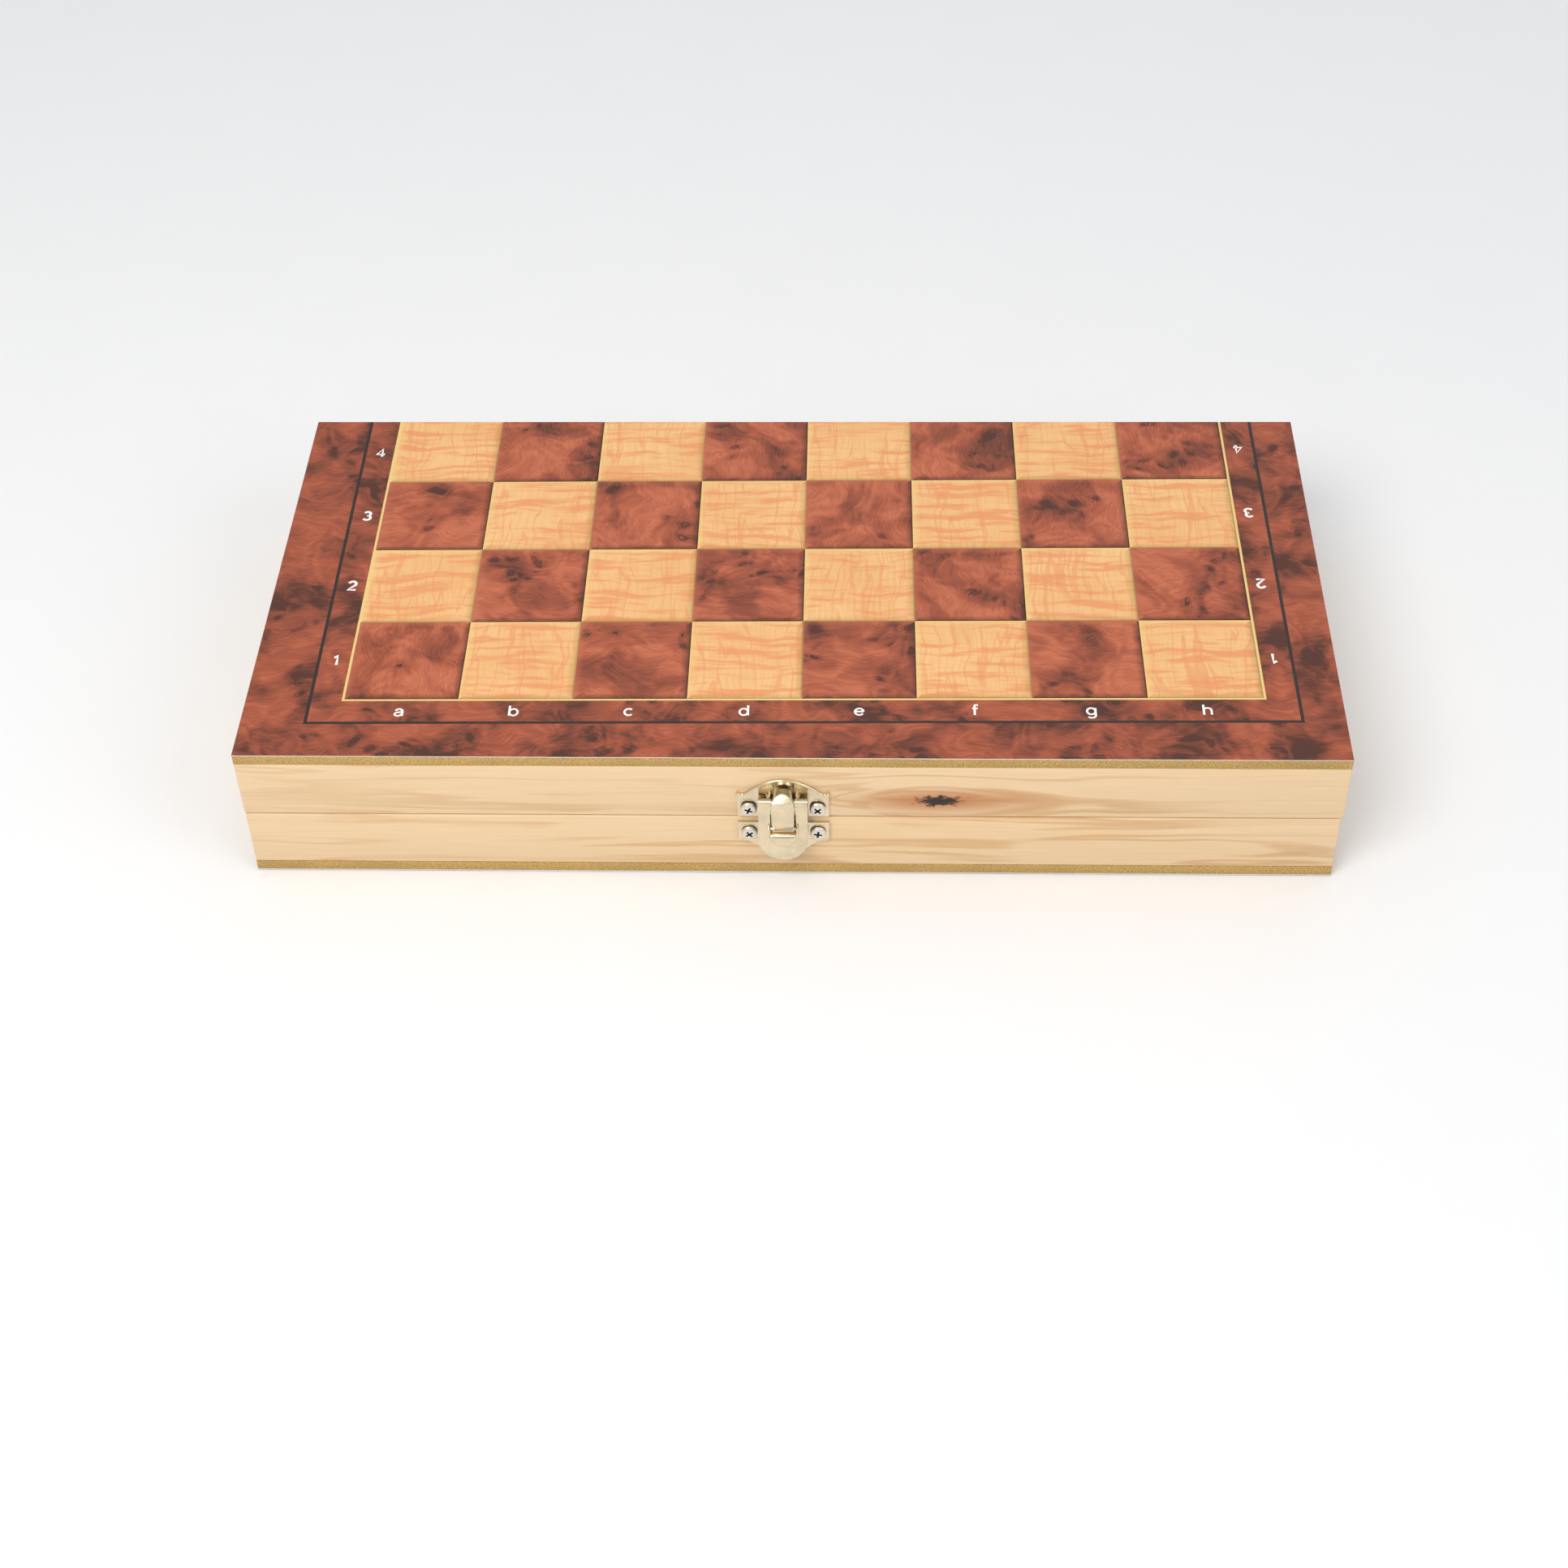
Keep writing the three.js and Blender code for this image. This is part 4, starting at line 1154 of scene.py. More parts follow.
class LATCH_OT_lever(bpy.types.Operator):
    """Makes the lever: a slotted plate with rolled knuckles, a cup for the hook and a finger lip"""

    bl_idname = "chess.lever"
    bl_label = "Lever"

    def execute(self, context):
        metal = plate("lever", self.plate_outline(), 2.2, 2.9)
        for height, step in FINGER_BENDS:
            level = at_latch(0, 0, height)
            edit(metal)
            bpy.ops.mesh.bisect(plane_co=level, plane_no=(0, 0, 1))
            push_out(metal, lambda vertex: vertex.co.z < level.z - 1e-6, step)
        slot = -SLOT_HALF, SLOT_HALF, 0, THROUGH
        cut(metal, latch_block("slot", *slot, HOOK_PIN[1], SLOT_TOP))
        weld(metal, self.cup())
        cut(metal, latch_block("mouth", *slot, CUP_MOUTH, SLOT_TOP))
        cut(metal, latch_block("pocket", -2.6, 2.6, 0, 3.6, -3.2, 0))
        cut(metal, latch_block("gap", -LEVER_GAP, LEVER_GAP, 0, THROUGH, 4.0, 8.5))
        for side in (-1, 1):
            ends = sorted((side * LEVER_GAP, side * LEVER_HALF))
            weld(metal, latch_rod("knuckle", KNUCKLE_RADIUS, *ends, LEVER_PIN))
        cut(metal, latch_rod("bore", 0.52, -THROUGH, THROUGH, LEVER_PIN))
        cut(metal, latch_rod("bore", HOOK_BORE, -HOOK_BORE_HALF, HOOK_BORE_HALF, HOOK_PIN))
        ease(metal, 0.13 * MM, 2, 50)
        smooth(outward(metal), 40)
        place_piece(metal, "latch_lever", ["latch_lever"], "plated_steel", plating(context))
        return {"FINISHED"}

    def plate_outline(self):
        """A plate with a round finger end and square shoulders at its knuckles."""
        side, bottom = LEVER_HALF, -9.9
        outline = [(side - 0.3, 6.9), (-side + 0.3, 6.9), (-side, 6.6)]
        outline += bow(0, bottom + side, side, side, 180, 360, 32)
        return outline + [(side, 6.6)]

    def cup(self):
        """The tongue pressed out of the plate to house the hook's pin between two cheeks."""
        side, bottom = 2.95, -5.6
        drops = [(x, bottom + 3.2 * (1 - math.sqrt(1 - x * x))) for x in CUP_STEPS]
        outline = [(side, CUP_MOUTH), (-side, CUP_MOUTH)] + [(-side * x, z) for x, z in drops]
        outline += [(side * x, z) for x, z in reversed(drops)]
        shell = plate("cup", outline, 2.3, 4.4)
        front = at_latch(0, 4.0, 0).y
        pick(shell, lambda edge: all(end.co.y < front for end in edge.verts), "EDGE")
        bpy.ops.mesh.bevel(offset=0.7 * MM, segments=5)
        object_mode()
        for hand in (-1, 1):
            ends = sorted((hand * SLOT_HALF, hand * 3.35))
            cheek = latch_block("cheek", *ends, 2.4, 3.95, -2.9, -0.2)
            weld(outward(shell), ease(cheek, 0.2 * MM))
        return shell


class LATCH_OT_hook(bpy.types.Operator):
    """Makes the hook: a raised shell with a flat face and a nose that reaches under the hood"""

    bl_idname = "chess.hook"
    bl_label = "Hook"

    def execute(self, context):
        side, crown = 2.45, 7.05
        outline = bow(0, crown, side, side, 0, 180, 24)
        waist = bow(-side + 0.75, 1.65, 0.75, 0.75, 180, 245, 4) + [(-1.95, 0.6), (-1.95, -1.4)]
        outline += waist + [(-x, z) for x, z in reversed(waist)]
        prism = plate("hook", outline, 0.5, 5.0)
        section = [(3.75, -0.8), (3.9, 0.2), (4.4, 1.0), (4.4, 8.0), (2.75, 9.65), (2.75, 10.4)]
        section += [(1.1, 10.4), (1.1, 8.7), (2.3, 8.4), (2.95, 7.4), (2.95, 0.6), (2.4, -0.8)]
        points = [at_latch(-4, depth, height) for depth, height in section]
        strip = traced("strip", points)
        extrude((8 * MM, 0, 0))
        object_mode()
        outward(strip)
        combine(prism, strip, "INTERSECT")
        ease(prism, 0.28 * MM, 4, 40)
        rear = at_latch(0, 2.95, 0).y
        broad = 5 * MM * MM

        def back_face(face):
            middle = face.calc_center_median()
            return face.normal.y > 0.99 and abs(middle.y - rear) < 0.05 * MM and face.calc_area() > broad

        pick(prism, back_face)
        bpy.ops.mesh.inset(thickness=0.12 * MM, depth=0)
        extrude((0, -0.7 * MM, 0))
        object_mode()
        weld(prism, ease(latch_rod("tail", 0.72, -2.3, 2.3, HOOK_PIN), 0.12 * MM, 2))
        cut(prism, latch_rod("bore", HOOK_BORE, -THROUGH, THROUGH, HOOK_PIN))
        smooth(outward(prism), 32)
        place_piece(prism, "latch_hook", ["latch_hook"], "plated_steel", plating(context))
        return {"FINISHED"}


class LATCH_OT_pins(bpy.types.Operator):
    """Makes the two latch pins with rounded ends"""

    bl_idname = "chess.latch_pins"
    bl_label = "Latch Pins"

    def execute(self, context):
        steel = bright_steel(context)
        for node, body, radius, reach, place in (
            ("latch_lever_pin", "lower_half", 0.45, LEVER_HALF, LEVER_PIN),
            ("latch_hook_pin", "latch_lever", 0.4, 3.3, HOOK_PIN),
        ):
            pin = latch_rod(node + "_peened", radius, -reach, reach, place, 24)
            smooth(ease(pin, 0.16 * MM), 30)
            place_piece(pin, body, [node], "bright_steel", steel)
        return {"FINISHED"}


def cross_head_screw(name, head, height, shank, length_below, slot, steel, recess_shade):
    """A cross-head screw standing on the origin, pointing down, in mm."""
    profile = [(0.0, height), (0.4 * head, 0.98 * height), (0.7 * head, 0.9 * height)]
    profile += [(0.88 * head, 0.72 * height), (0.97 * head, 0.42 * height), (head, 0.1 * height)]
    profile += [(0.97 * head, 0.0), (shank, 0.0)]
    pitch = 0.55
    threads = max(0, int((length_below - 1.6) / pitch))
    for turn in range(threads):
        z = -0.5 - pitch * turn
        profile += [(0.8 * shank, z), (0.8 * shank, z - 0.18), (shank, z - 0.32), (0.8 * shank, z - 0.46)]
    profile += [(0.75 * shank, -length_below + 1.0), (0.0, -length_below)]
    points = [Vector((x * MM, 0, z * MM)) for x, z in profile]
    screw = traced(name, points, fill=False)
    bpy.ops.mesh.spin(steps=24, angle=math.tau, center=(0, 0, 0), axis=(0, 0, 1))
    object_mode()
    outward(screw)
    screw.data.materials.append(steel)
    reach, floor = slot
    for turn in (0, math.pi / 2):
        low = Vector((-reach, -0.26 * reach, height - floor)) * MM
        high = Vector((reach, 0.26 * reach, height + floor)) * MM
        bit = add_block("bit", low, high)
        pick(bit, lambda face: face.normal.z < -0.9)
        bpy.ops.transform.resize(value=(0.55, 0.45, 1), center_override=(0, 0, 0))
        object_mode()
        bit.data.transform(Matrix.Rotation(turn, 4, "Z"))
        # The cross's cut faces take the near-black painted shade of the recess.
        bit.data.materials.append(recess_shade)
        combine(screw, bit, "DIFFERENCE", solver="EXACT", material_mode="TRANSFER")
    return outward(screw)


def copied(piece, name, matrix):
    """A copy of a piece with its own mesh, moved to its place."""
    only(piece)
    bpy.ops.object.duplicate(linked=False)
    twin = bpy.context.active_object
    twin.data.transform(matrix)
    twin.name = name
    twin.data.name = name
    return twin


class LATCH_OT_screws(bpy.types.Operator):
    """Makes the four cross-head screws of the latch"""

    bl_idname = "chess.latch_screws"
    bl_label = "Latch Screws"

    def execute(self, context):
        steel = bright_steel(context)
        # Near-black painted shade for the inside of the screws' crosses.
        recess_shade = shared("recess_painted_shade", painted_shade_metal)
        pattern = cross_head_screw("screw_pattern", 1.8, 0.8, 0.8, 6.0, (1.22, 0.75), steel, recess_shade)
        turns = {("strike", "left"): 68, ("strike", "right"): 42, ("base", "left"): 38, ("base", "right"): 82}
        for (kind, hand), turn in turns.items():
            side = -SCREW_SIDE if hand == "left" else SCREW_SIDE
            place = at_latch(side, 0.85, SCREW_PLACES[kind])
            stand = Matrix.Translation(place) @ Matrix.Rotation(math.pi / 2, 4, "X")
            stand = stand @ Matrix.Rotation(math.radians(turn), 4, "Z")
            node = f"latch_{kind}_screw_{hand}"
            screw = smooth(copied(pattern, node + "_cross_head", stand), 30)
            body = "upper_half" if kind == "strike" else "lower_half"
            place_piece(screw, body, [node], "bright_steel")
        bpy.data.objects.remove(pattern)
        return {"FINISHED"}


# ---- The hinges ----
LEAF_THICKNESS = 0.6 * MM
LEAF_HOLES = 5.0 * MM  # each side of the leaf's middle
LEAF_HOLE_ROW = 3.875 * MM  # in from the box's back
END_KNUCKLE = 5.85 * MM  # length of the lower leaf's two knuckles
MIDDLE_KNUCKLE = 6.15 * MM  # from the upper leaf's ends to its one knuckle
KNUCKLE_GAP = 0.3 * MM
PIN_BORE = 0.7 * MM
SINK_NARROW, SINK_WIDE = 0.6 * MM, 1.3 * MM  # radii of a countersink


class HINGE_OT_leaves(bpy.types.Operator):
    """Makes the two butt hinges: leaves with rolled knuckles, pins and countersunk screws"""

    bl_idname = "chess.hinges"
    bl_label = "Hinges"

    def execute(self, context):
        metal, steel = plating(context), bright_steel(context)
        # Near-black painted shade for the inside of the screws' crosses.
        recess_shade = shared("recess_painted_shade", painted_shade_metal)
        pattern = cross_head_screw("small_screw_pattern", 1.15, 0.3, 0.55, 1.8, (0.75, 0.3), steel, recess_shade)
        for side in ("left", "right"):
            pin_low, pin_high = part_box(side + "_hinge_pin")
            axis = (pin_low + pin_high) / 2
            radius = (pin_high.z - pin_low.z) / 2
            ends = (pin_low.x, axis.y, axis.z), (pin_high.x, axis.y, axis.z)
            pin = add_rod(side + "_hinge_steel_pin", radius, *ends)
            smooth(ease(pin, 0.15 * MM), 30)
            place_piece(pin, "lower_half", [side + "_hinge_pin"], "bright_steel", steel)
            for half in ("lower", "upper"):
                leaf = self.leaf(side, half, axis)
                node = f"{side}_hinge_{half}_leaf"
                place_piece(leaf, half + "_half", [node], "plated_steel", metal)
                self.screws(side, half, pattern)
        bpy.data.objects.remove(pattern)
        return {"FINISHED"}

    def plate_heights(self, half):
        """Outer and inner face heights of a leaf, and the way its inner face looks."""
        bottom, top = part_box(half + "_back_rail")
        face, toward = (top.z, 1) if half == "lower" else (bottom.z, -1)
        return face - toward * LEAF_THICKNESS, face, toward

    def leaf(self, side, half, axis):
        """A flat leaf with its knuckles round the pin and two countersunk holes."""
        low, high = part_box(f"{side}_hinge_{half}_leaf")
        knuckle = high.y - axis.y
        under, face, toward = self.plate_heights(half)
        edge = axis.y - knuckle - KNUCKLE_GAP
        bottom, top = min(under, face), max(under, face)
        leaf = add_block(f"{side}_hinge_{half}_rolled_leaf", (low.x, low.y, bottom), (high.x, edge, top))
        if half == "upper":
            runs = [(low.x + MIDDLE_KNUCKLE, high.x - MIDDLE_KNUCKLE)]
        else:
            runs = [(low.x, low.x + END_KNUCKLE), (high.x - END_KNUCKLE, high.x)]
        for start, end in runs:
            web = add_block("web", (start, edge - 0.5 * MM, bottom), (end, axis.y, top))
            weld(leaf, web)
            barrel = add_rod("barrel", knuckle, (start, axis.y, axis.z), (end, axis.y, axis.z), 32)
            weld(leaf, barrel)
        ends = (low.x - 1 * MM, axis.y, axis.z), (high.x + 1 * MM, axis.y, axis.z)
        cut(leaf, add_rod("bore", PIN_BORE, *ends, 28))
        for place in self.hole_places(side, half):
            sink = Vector(place)
            start, end = sink - Vector((0, 0, toward * 0.75 * MM)), sink + Vector((0, 0, toward * 0.05 * MM))
            below, above = (SINK_NARROW, SINK_WIDE) if toward > 0 else (SINK_WIDE, SINK_NARROW)
            depth = (end - start).length
            clear()
            bpy.ops.mesh.primitive_cone_add(
                vertices=24, radius1=below, radius2=above, depth=depth, location=(start + end) / 2
            )
            cut(leaf, settled("countersink"))
        ease(leaf, 0.1 * MM, 2, 50)
        return smooth(outward(leaf), 40)

    def hole_places(self, side, half):
        """Where a leaf's two screws sit, on its inner face."""
        low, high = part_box(f"{side}_hinge_{half}_leaf")
        middle = (low.x + high.x) / 2
        face = self.plate_heights(half)[1]
        return [(middle + hand * LEAF_HOLES, BACK - LEAF_HOLE_ROW, face) for hand in (-1, 1)]

    def screws(self, side, half, pattern):
        """Copies the small screw into a leaf's two holes."""
        toward = self.plate_heights(half)[2]
        for index, place in enumerate(self.hole_places(side, half)):
            stand = Matrix.Translation(Vector(place) - Vector((0, 0, toward * 0.32 * MM)))
            if toward < 0:
                stand = stand @ Matrix.Rotation(math.pi, 4, "X")
            stand = stand @ Matrix.Rotation(0.4 + 0.7 * index, 4, "Z")
            screw = smooth(copied(pattern, f"{side}_{half}_leaf_screw_{index + 1}", stand), 30)
            place_piece(screw, half + "_half", [], "bright_steel")


# ---- The men ----
# Profiles give radius and height as shares of the foot's radius and of the man's height.
BASE = [(0, 0), (0.88, 0), (0.96, 0.012), (1, 0.035), (1, 0.05), (0.965, 0.072), (0.9, 0.082)]
BASE += [(0.9, 0.095), (0.84, 0.125), (0.7, 0.16)]
LATHES = {
    "pawn": BASE
    + [(0.52, 0.24), (0.42, 0.34), (0.36, 0.46), (0.34, 0.54), (0.42, 0.56), (0.6, 0.575), (0.62, 0.6)]
    + [(0.56, 0.625), (0.42, 0.645), (0.46, 0.68), (0.54, 0.745), (0.56, 0.81), (0.53, 0.88)]
    + [(0.43, 0.945), (0.26, 0.985), (0, 1)],
    "rook": BASE
    + [(0.6, 0.22), (0.54, 0.3), (0.5, 0.45), (0.49, 0.6), (0.52, 0.64), (0.66, 0.665), (0.74, 0.69)]
    + [(0.74, 0.715), (0.68, 0.74), (0.7, 0.8), (0.7, 1), (0.47, 1), (0.45, 0.86), (0, 0.85)],
    "knight": BASE + [(0.62, 0.19), (0.6, 0.215), (0.66, 0.235), (0.68, 0.26), (0.62, 0.28), (0, 0.28)],
    "bishop": BASE
    + [(0.5, 0.23), (0.4, 0.34), (0.32, 0.5), (0.3, 0.57), (0.4, 0.585), (0.6, 0.6), (0.62, 0.625)]
    + [(0.5, 0.645), (0.36, 0.66), (0.38, 0.69), (0.46, 0.75), (0.48, 0.79), (0.43, 0.86), (0.3, 0.92)]
    + [(0.13, 0.945), (0.12, 0.955), (0.16, 0.97), (0.12, 0.99), (0, 1)],
    "queen": BASE
    + [(0.52, 0.21), (0.42, 0.32), (0.34, 0.5), (0.31, 0.61), (0.42, 0.625), (0.62, 0.64), (0.64, 0.66)]
    + [(0.54, 0.678), (0.4, 0.69), (0.4, 0.72), (0.44, 0.79), (0.53, 0.87), (0.62, 0.925), (0.5, 0.93)]
    + [(0.42, 0.915), (0.3, 0.94), (0.14, 0.958), (0.1, 0.965), (0.15, 0.98), (0.1, 0.995), (0, 1)],
    "king": BASE
    + [(0.52, 0.2), (0.42, 0.3), (0.36, 0.46), (0.34, 0.57), (0.44, 0.585), (0.64, 0.6), (0.66, 0.62)]
    + [(0.56, 0.638), (0.4, 0.65), (0.4, 0.68), (0.45, 0.75), (0.53, 0.82), (0.58, 0.855), (0.52, 0.872)]
    + [(0.3, 0.895), (0.13, 0.905), (0.09, 0.91), (0, 0.91)],
}
HORSE = [(-0.62, 0.26), (0.5, 0.26), (0.52, 0.32), (0.4, 0.42), (0.32, 0.52), (0.44, 0.56), (0.62, 0.55)]
HORSE += [(0.78, 0.57), (0.88, 0.62), (0.9, 0.68), (0.78, 0.76), (0.56, 0.83), (0.42, 0.9), (0.3, 0.96)]
HORSE += [(0.2, 1.0), (0.12, 0.95), (0.0, 0.965), (-0.24, 0.93), (-0.44, 0.85), (-0.58, 0.74)]
HORSE += [(-0.62, 0.62), (-0.56, 0.48), (-0.6, 0.36)]
HORSE_HALF = 0.4
# Where a lying man touches the floor besides its foot's rim, as such shares.
REST_ON = {
    "pawn": (0.56, 0.82),
    "rook": (0.7, 1.0),
    "knight": (0.4, 1.0),
    "bishop": (0.62, 0.63),
    "queen": (0.62, 0.93),
    "king": (0.58, 0.86),
}
# Foot's width and man's height as shares of a square, and how many an army has.
RANK = {
    "rook": (0.6, 1.15, 2),
    "knight": (0.62, 1.31, 2),
    "bishop": (0.62, 1.43, 2),
    "queen": (0.68, 1.66, 1),
    "king": (0.7, 1.83, 1),
    "pawn": (0.54, 0.95, 8),
}


def lathed(name, profile, radius, height, steps):
    """A turned body standing on the origin."""
    points = [Vector((x * radius, 0, z * height)) for x, z in profile]
    piece = traced(name, points, fill=False)
    bpy.ops.mesh.spin(steps=steps, angle=math.tau, center=(0, 0, 0), axis=(0, 0, 1))
    object_mode()
    return outward(piece)


def notch(piece, low, high, turn):
    """Cuts a block out of a man, turned round its axis."""
    block = add_block("notch", low, high)
    block.data.transform(Matrix.Rotation(turn, 4, "Z"))
    return cut(piece, block)


def standing_man(kind, radius, height, steps):
    """One man of a kind, upright on the origin."""
    man = lathed(kind + "_pattern", LATHES[kind], radius, height, steps)
    if kind == "rook":
        for step in range(2):
            low = (-radius, -0.11 * radius, 0.91 * height)
            notch(man, low, (radius, 0.11 * radius, 1.1 * height), step * math.pi / 2)
    elif kind == "bishop":
        slit = add_block("slit", (0.12 * radius, -radius, 0), (radius, radius, 0.035 * height))
        slit.data.transform(Matrix.Translation((0, 0, 0.76 * height)) @ Matrix.Rotation(-0.9, 4, "Y"))
        cut(man, slit)
    elif kind == "queen":
        for step in range(8):
            low = (0.46 * radius, -0.07 * radius, 0.885 * height)
            notch(man, low, (radius, 0.07 * radius, height), step * math.tau / 8)
    elif kind == "king":
        thick, wide = 0.06 * radius, 0.17 * radius
        post = add_block("post", (-thick, -thick, 0.9 * height), (thick, thick, height))
        arms = add_block("arms", (-wide, -thick, 0.945 * height), (wide, thick, 0.972 * height))
        weld(post, arms)
        weld(man, ease(post, 0.12 * MM, 2))
    elif kind == "knight":
        weld(man, horse_head(radius, height))
    return smooth(outward(man), 42)


def horse_head(radius, height):
    """A horse's head with a narrowed muzzle, rounded edges, eyes and a cut mane."""
    half = HORSE_HALF * radius
    points = [Vector((x * radius, -half, z * height)) for x, z in HORSE]
    head = traced("horse", points)
    extrude((0, 2 * half, 0))
    object_mode()
    outward(head)
    pick(head, lambda vertex: vertex.co.x > 0.5 * radius and vertex.co.z > 0.5 * height, "VERT")
    bpy.ops.transform.resize(value=(1, 0.62, 1), center_override=(0, 0, 0))
    object_mode()
    pick(head, lambda vertex: vertex.co.x < -0.3 * radius and vertex.co.z > 0.4 * height, "VERT")
    bpy.ops.transform.resize(value=(1, 0.6, 1), center_override=(0, 0, 0))
    object_mode()
    ease(head, 0.13 * radius, 3, 50)
    for side in (-1, 1):
        corner = (0.6 * radius, side * 0.3 * radius, 0.625 * height)
        lips = (0.95 * radius, side * 0.22 * radius, 0.6 * height)
        cut(head, add_rod("mouth", 0.03 * radius, corner, lips, 8))
        clear()
        socket = (0.36 * radius, side * 0.33 * radius, 0.82 * height)
        bpy.ops.mesh.primitive_uv_sphere_add(
            segments=12, ring_count=8, radius=0.075 * radius, location=socket
        )
        weld(head, settled("eye"))
    for step in range(4):
        z = (0.5 + 0.11 * step) * height
        gash = add_block("mane", (-radius, -radius, z), (-0.52 * radius, radius, z + 0.02 * height))
        cut(head, gash)
    return outward(head)


def resting(kind, radius, height):
    """How far a lying man's head drops, and where its axis starts, as in the frame."""
    share, high = REST_ON[kind]
    tilt = math.atan((1 - share) * radius / ((high - 0.05) * height))
    lift = radius * math.cos(tilt) + 0.05 * height * math.sin(tilt)
    return tilt, radius * math.sin(tilt), lift


class MEN_OT_turn(bpy.types.Operator):
    """Turns the six kinds of men and lays both armies in the box"""

    bl_idname = "chess.men"
    bl_label = "Men"

    def execute(self, context):
        men = context.scene.chess_men
        felt = felt_cloth("felt", men.felt)
        woods = {
            "white": turned_wood("pale_men", men.pale, (0.5, 0.25, 0.08)),
            "black": turned_wood("dark_men", men.dark, (0.02, 0.007, 0.004)),
        }
        for kind, (width, tall, count) in RANK.items():
            radius, height = width * SQUARE / 2, tall * SQUARE
            pattern = standing_man(kind, radius, height, men.sides)
            pattern.data.materials.append(woods["white"])
            pattern.data.materials.append(felt)
            for face in pattern.data.polygons:
                if face.normal.z < -0.95 and face.center.z < 0.01 * height:
                    face.material_index = 1
            for army, wood in woods.items():
                for number in range(1, count + 1):
                    node = f"{army}_{kind}" + (f"_{number}" if count > 1 else "")
                    man = self.laid(pattern, node, army, resting(kind, radius, height))
                    man.data.materials[0] = wood
                    slot = "pale_men" if army == "white" else "dark_men"
                    place_piece(man, "lower_half", [node], slot)
            bpy.data.objects.remove(pattern)
        return {"FINISHED"}

    def laid(self, pattern, node, army, rest):
        """Lays a man along Y with its head down on the floor, pointing away from its own side."""
        tilt, shift, lift = rest
        low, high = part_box(node)
        away = army == "white"
        place = Matrix.Translation(((low.x + high.x) / 2, low.y if away else high.y, low.z))
        if not away:
            place = place @ Matrix.Rotation(math.pi, 4, "Z")
        down = Matrix.Translation((0, shift, lift)) @ Matrix.Rotation(-tilt - math.pi / 2, 4, "X")
        return copied(pattern, node + "_turned", place @ down)


# ---- The stage ----
# Each light's name, place and size in metres, power in watts and tint.
LIGHTS = (
    ("key_light", (-0.34, -0.56, 0.8), 0.6, 5.6, (1.0, 0.98, 0.95)),
    ("fill_light", (0.9, -0.6, 0.8), 0.9, 3.5, (0.97, 0.98, 1.0)),
    ("back_light", (0.1, 0.9, 1.0), 0.9, 0.9, (1.0, 1.0, 1.0)),
)
FLOOR_DROP = 0.2 * MM  # keeps the floor off the underside


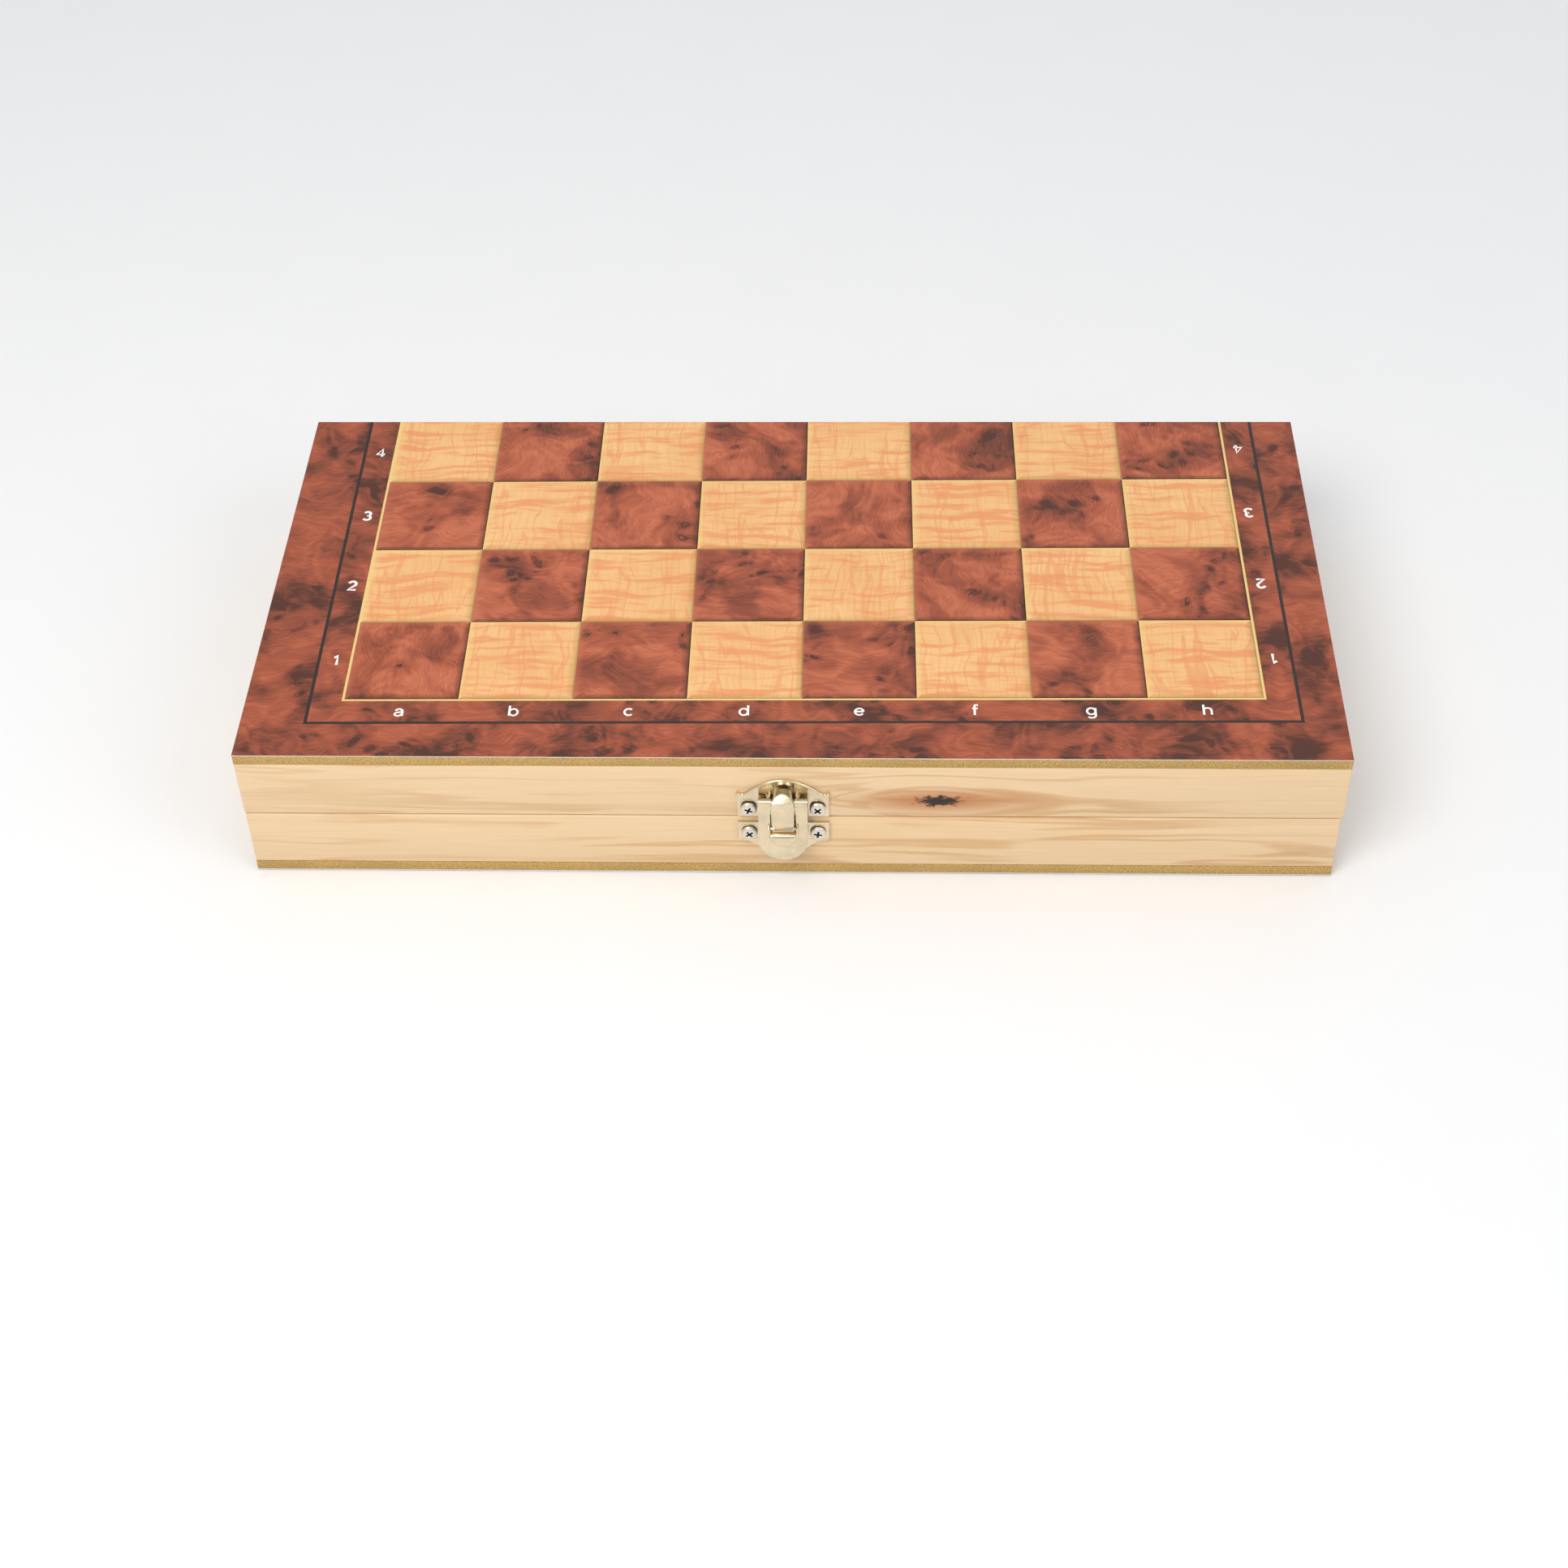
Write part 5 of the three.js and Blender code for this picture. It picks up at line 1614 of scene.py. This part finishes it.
class STAGE_OT_studio(bpy.types.Operator):
    """Sets the floor, the soft lights and the camera"""

    bl_idname = "chess.stage"
    bl_label = "Stage"

    def execute(self, context):
        stage = context.scene.chess_stage
        m = Finish("pale_floor")
        haze = m.noise(m.object_place(), 40.0, 2.0)
        tone = m.mix(haze, stage.floor, tuple(part * 0.98 for part in stage.floor))
        material = m.surface(Base_Color=tone, Roughness=0.75)
        clear()
        bpy.ops.mesh.primitive_plane_add(size=12, location=(0, 0, -FLOOR_DROP))
        floor = settled("floor")
        floor.data.materials.append(material)
        for light in LIGHTS:
            self.light(context, *light)
        self.world(context)
        self.camera(context, stage)
        context.scene.view_settings.view_transform = "Standard"
        return {"FINISHED"}

    def light(self, context, name, place, size, power, tint):
        """A round soft light that looks at the box."""
        clear()
        aim = Vector((0, 0, 0.02)) - Vector(place)
        turn = aim.to_track_quat("-Z", "Y").to_euler()
        bpy.ops.object.light_add(type="AREA", location=place, rotation=turn)
        lamp = context.active_object
        lamp.name = name
        lamp.data.shape = "DISK"
        lamp.data.size = size
        lamp.data.energy = power
        lamp.data.color = tint

    def world(self, context):
        """A soft room that is brighter above than below."""
        world = bpy.data.worlds.new("soft_room")
        world.use_nodes = True
        context.scene.world = world
        tree = world.node_tree
        place = tree.nodes.new("ShaderNodeTexCoord")
        ramp = tree.nodes.new("ShaderNodeValToRGB")
        split = tree.nodes.new("ShaderNodeSeparateXYZ")
        tree.links.new(place.outputs["Generated"], split.inputs["Vector"])
        tree.links.new(split.outputs["Z"], ramp.inputs["Fac"])
        ramp.color_ramp.elements[0].color = (0.3, 0.29, 0.28, 1)
        ramp.color_ramp.elements[1].color = (0.95, 0.97, 1.0, 1)
        ramp.color_ramp.elements[1].position = 0.7
        back = tree.nodes["Background"]
        tree.links.new(ramp.outputs["Color"], back.inputs["Color"])
        back.inputs["Strength"].default_value = 0.72

    def camera(self, context, stage):
        """A camera turned by its azimuth, elevation and roll."""
        e, a, r = stage.elevation, stage.azimuth, stage.roll
        look = Vector((math.sin(a) * math.cos(e), math.cos(a) * math.cos(e), -math.sin(e)))
        right = Vector((math.cos(a), -math.sin(a), 0))
        up = right.cross(look)
        x_axis = math.cos(r) * right + math.sin(r) * up
        y_axis = math.cos(r) * up - math.sin(r) * right
        turn = Matrix((x_axis, y_axis, -look)).transposed()
        clear()
        bpy.ops.object.camera_add(location=stage.camera_place, rotation=turn.to_euler())
        camera = context.active_object
        camera.name = "camera"
        camera.data.lens = stage.lens
        camera.data.sensor_width = 36
        camera.data.clip_start = 0.01
        context.scene.camera = camera


class VIEW3D_PT_chess_set(bpy.types.Panel):
    """Buttons and sizes of the chess set"""

    bl_label = "Chess Set"
    bl_space_type = "VIEW_3D"
    bl_region_type = "UI"
    bl_category = "Chess Set"

    def draw(self, context):
        layout = self.layout
        for operator in OPERATORS:
            layout.operator(operator.bl_idname)
        for name, group in SETTINGS.items():
            box = layout.box()
            box.label(text=group.__doc__)
            for key in group.__annotations__:
                box.prop(getattr(context.scene, name), key)


SETTINGS = {
    "chess_field": FieldSettings,
    "chess_box": BoxSettings,
    "chess_metal": MetalSettings,
    "chess_men": MenSettings,
    "chess_stage": StageSettings,
}
OPERATORS = (
    STAGE_OT_studio,
    FIELD_OT_print,
    BOX_OT_panels,
    BOX_OT_rails,
    LATCH_OT_strike,
    LATCH_OT_base,
    LATCH_OT_lever,
    LATCH_OT_hook,
    LATCH_OT_pins,
    LATCH_OT_screws,
    HINGE_OT_leaves,
    MEN_OT_turn,
)


def register():
    """Registers the settings, the operators and the panel."""
    for cls in (*SETTINGS.values(), *OPERATORS, VIEW3D_PT_chess_set):
        bpy.utils.register_class(cls)
    for name, group in SETTINGS.items():
        setattr(bpy.types.Scene, name, PointerProperty(type=group))


def unregister():
    """Takes them all away again."""
    for name in SETTINGS:
        delattr(bpy.types.Scene, name)
    for cls in (VIEW3D_PT_chess_set, *reversed(OPERATORS), *reversed(SETTINGS.values())):
        bpy.utils.unregister_class(cls)


def main():
    """Builds the whole set."""
    register()
    for operator in OPERATORS:
        group, name = operator.bl_idname.split(".")
        getattr(getattr(bpy.ops, group), name)()


if __name__ == "__main__":
    main()
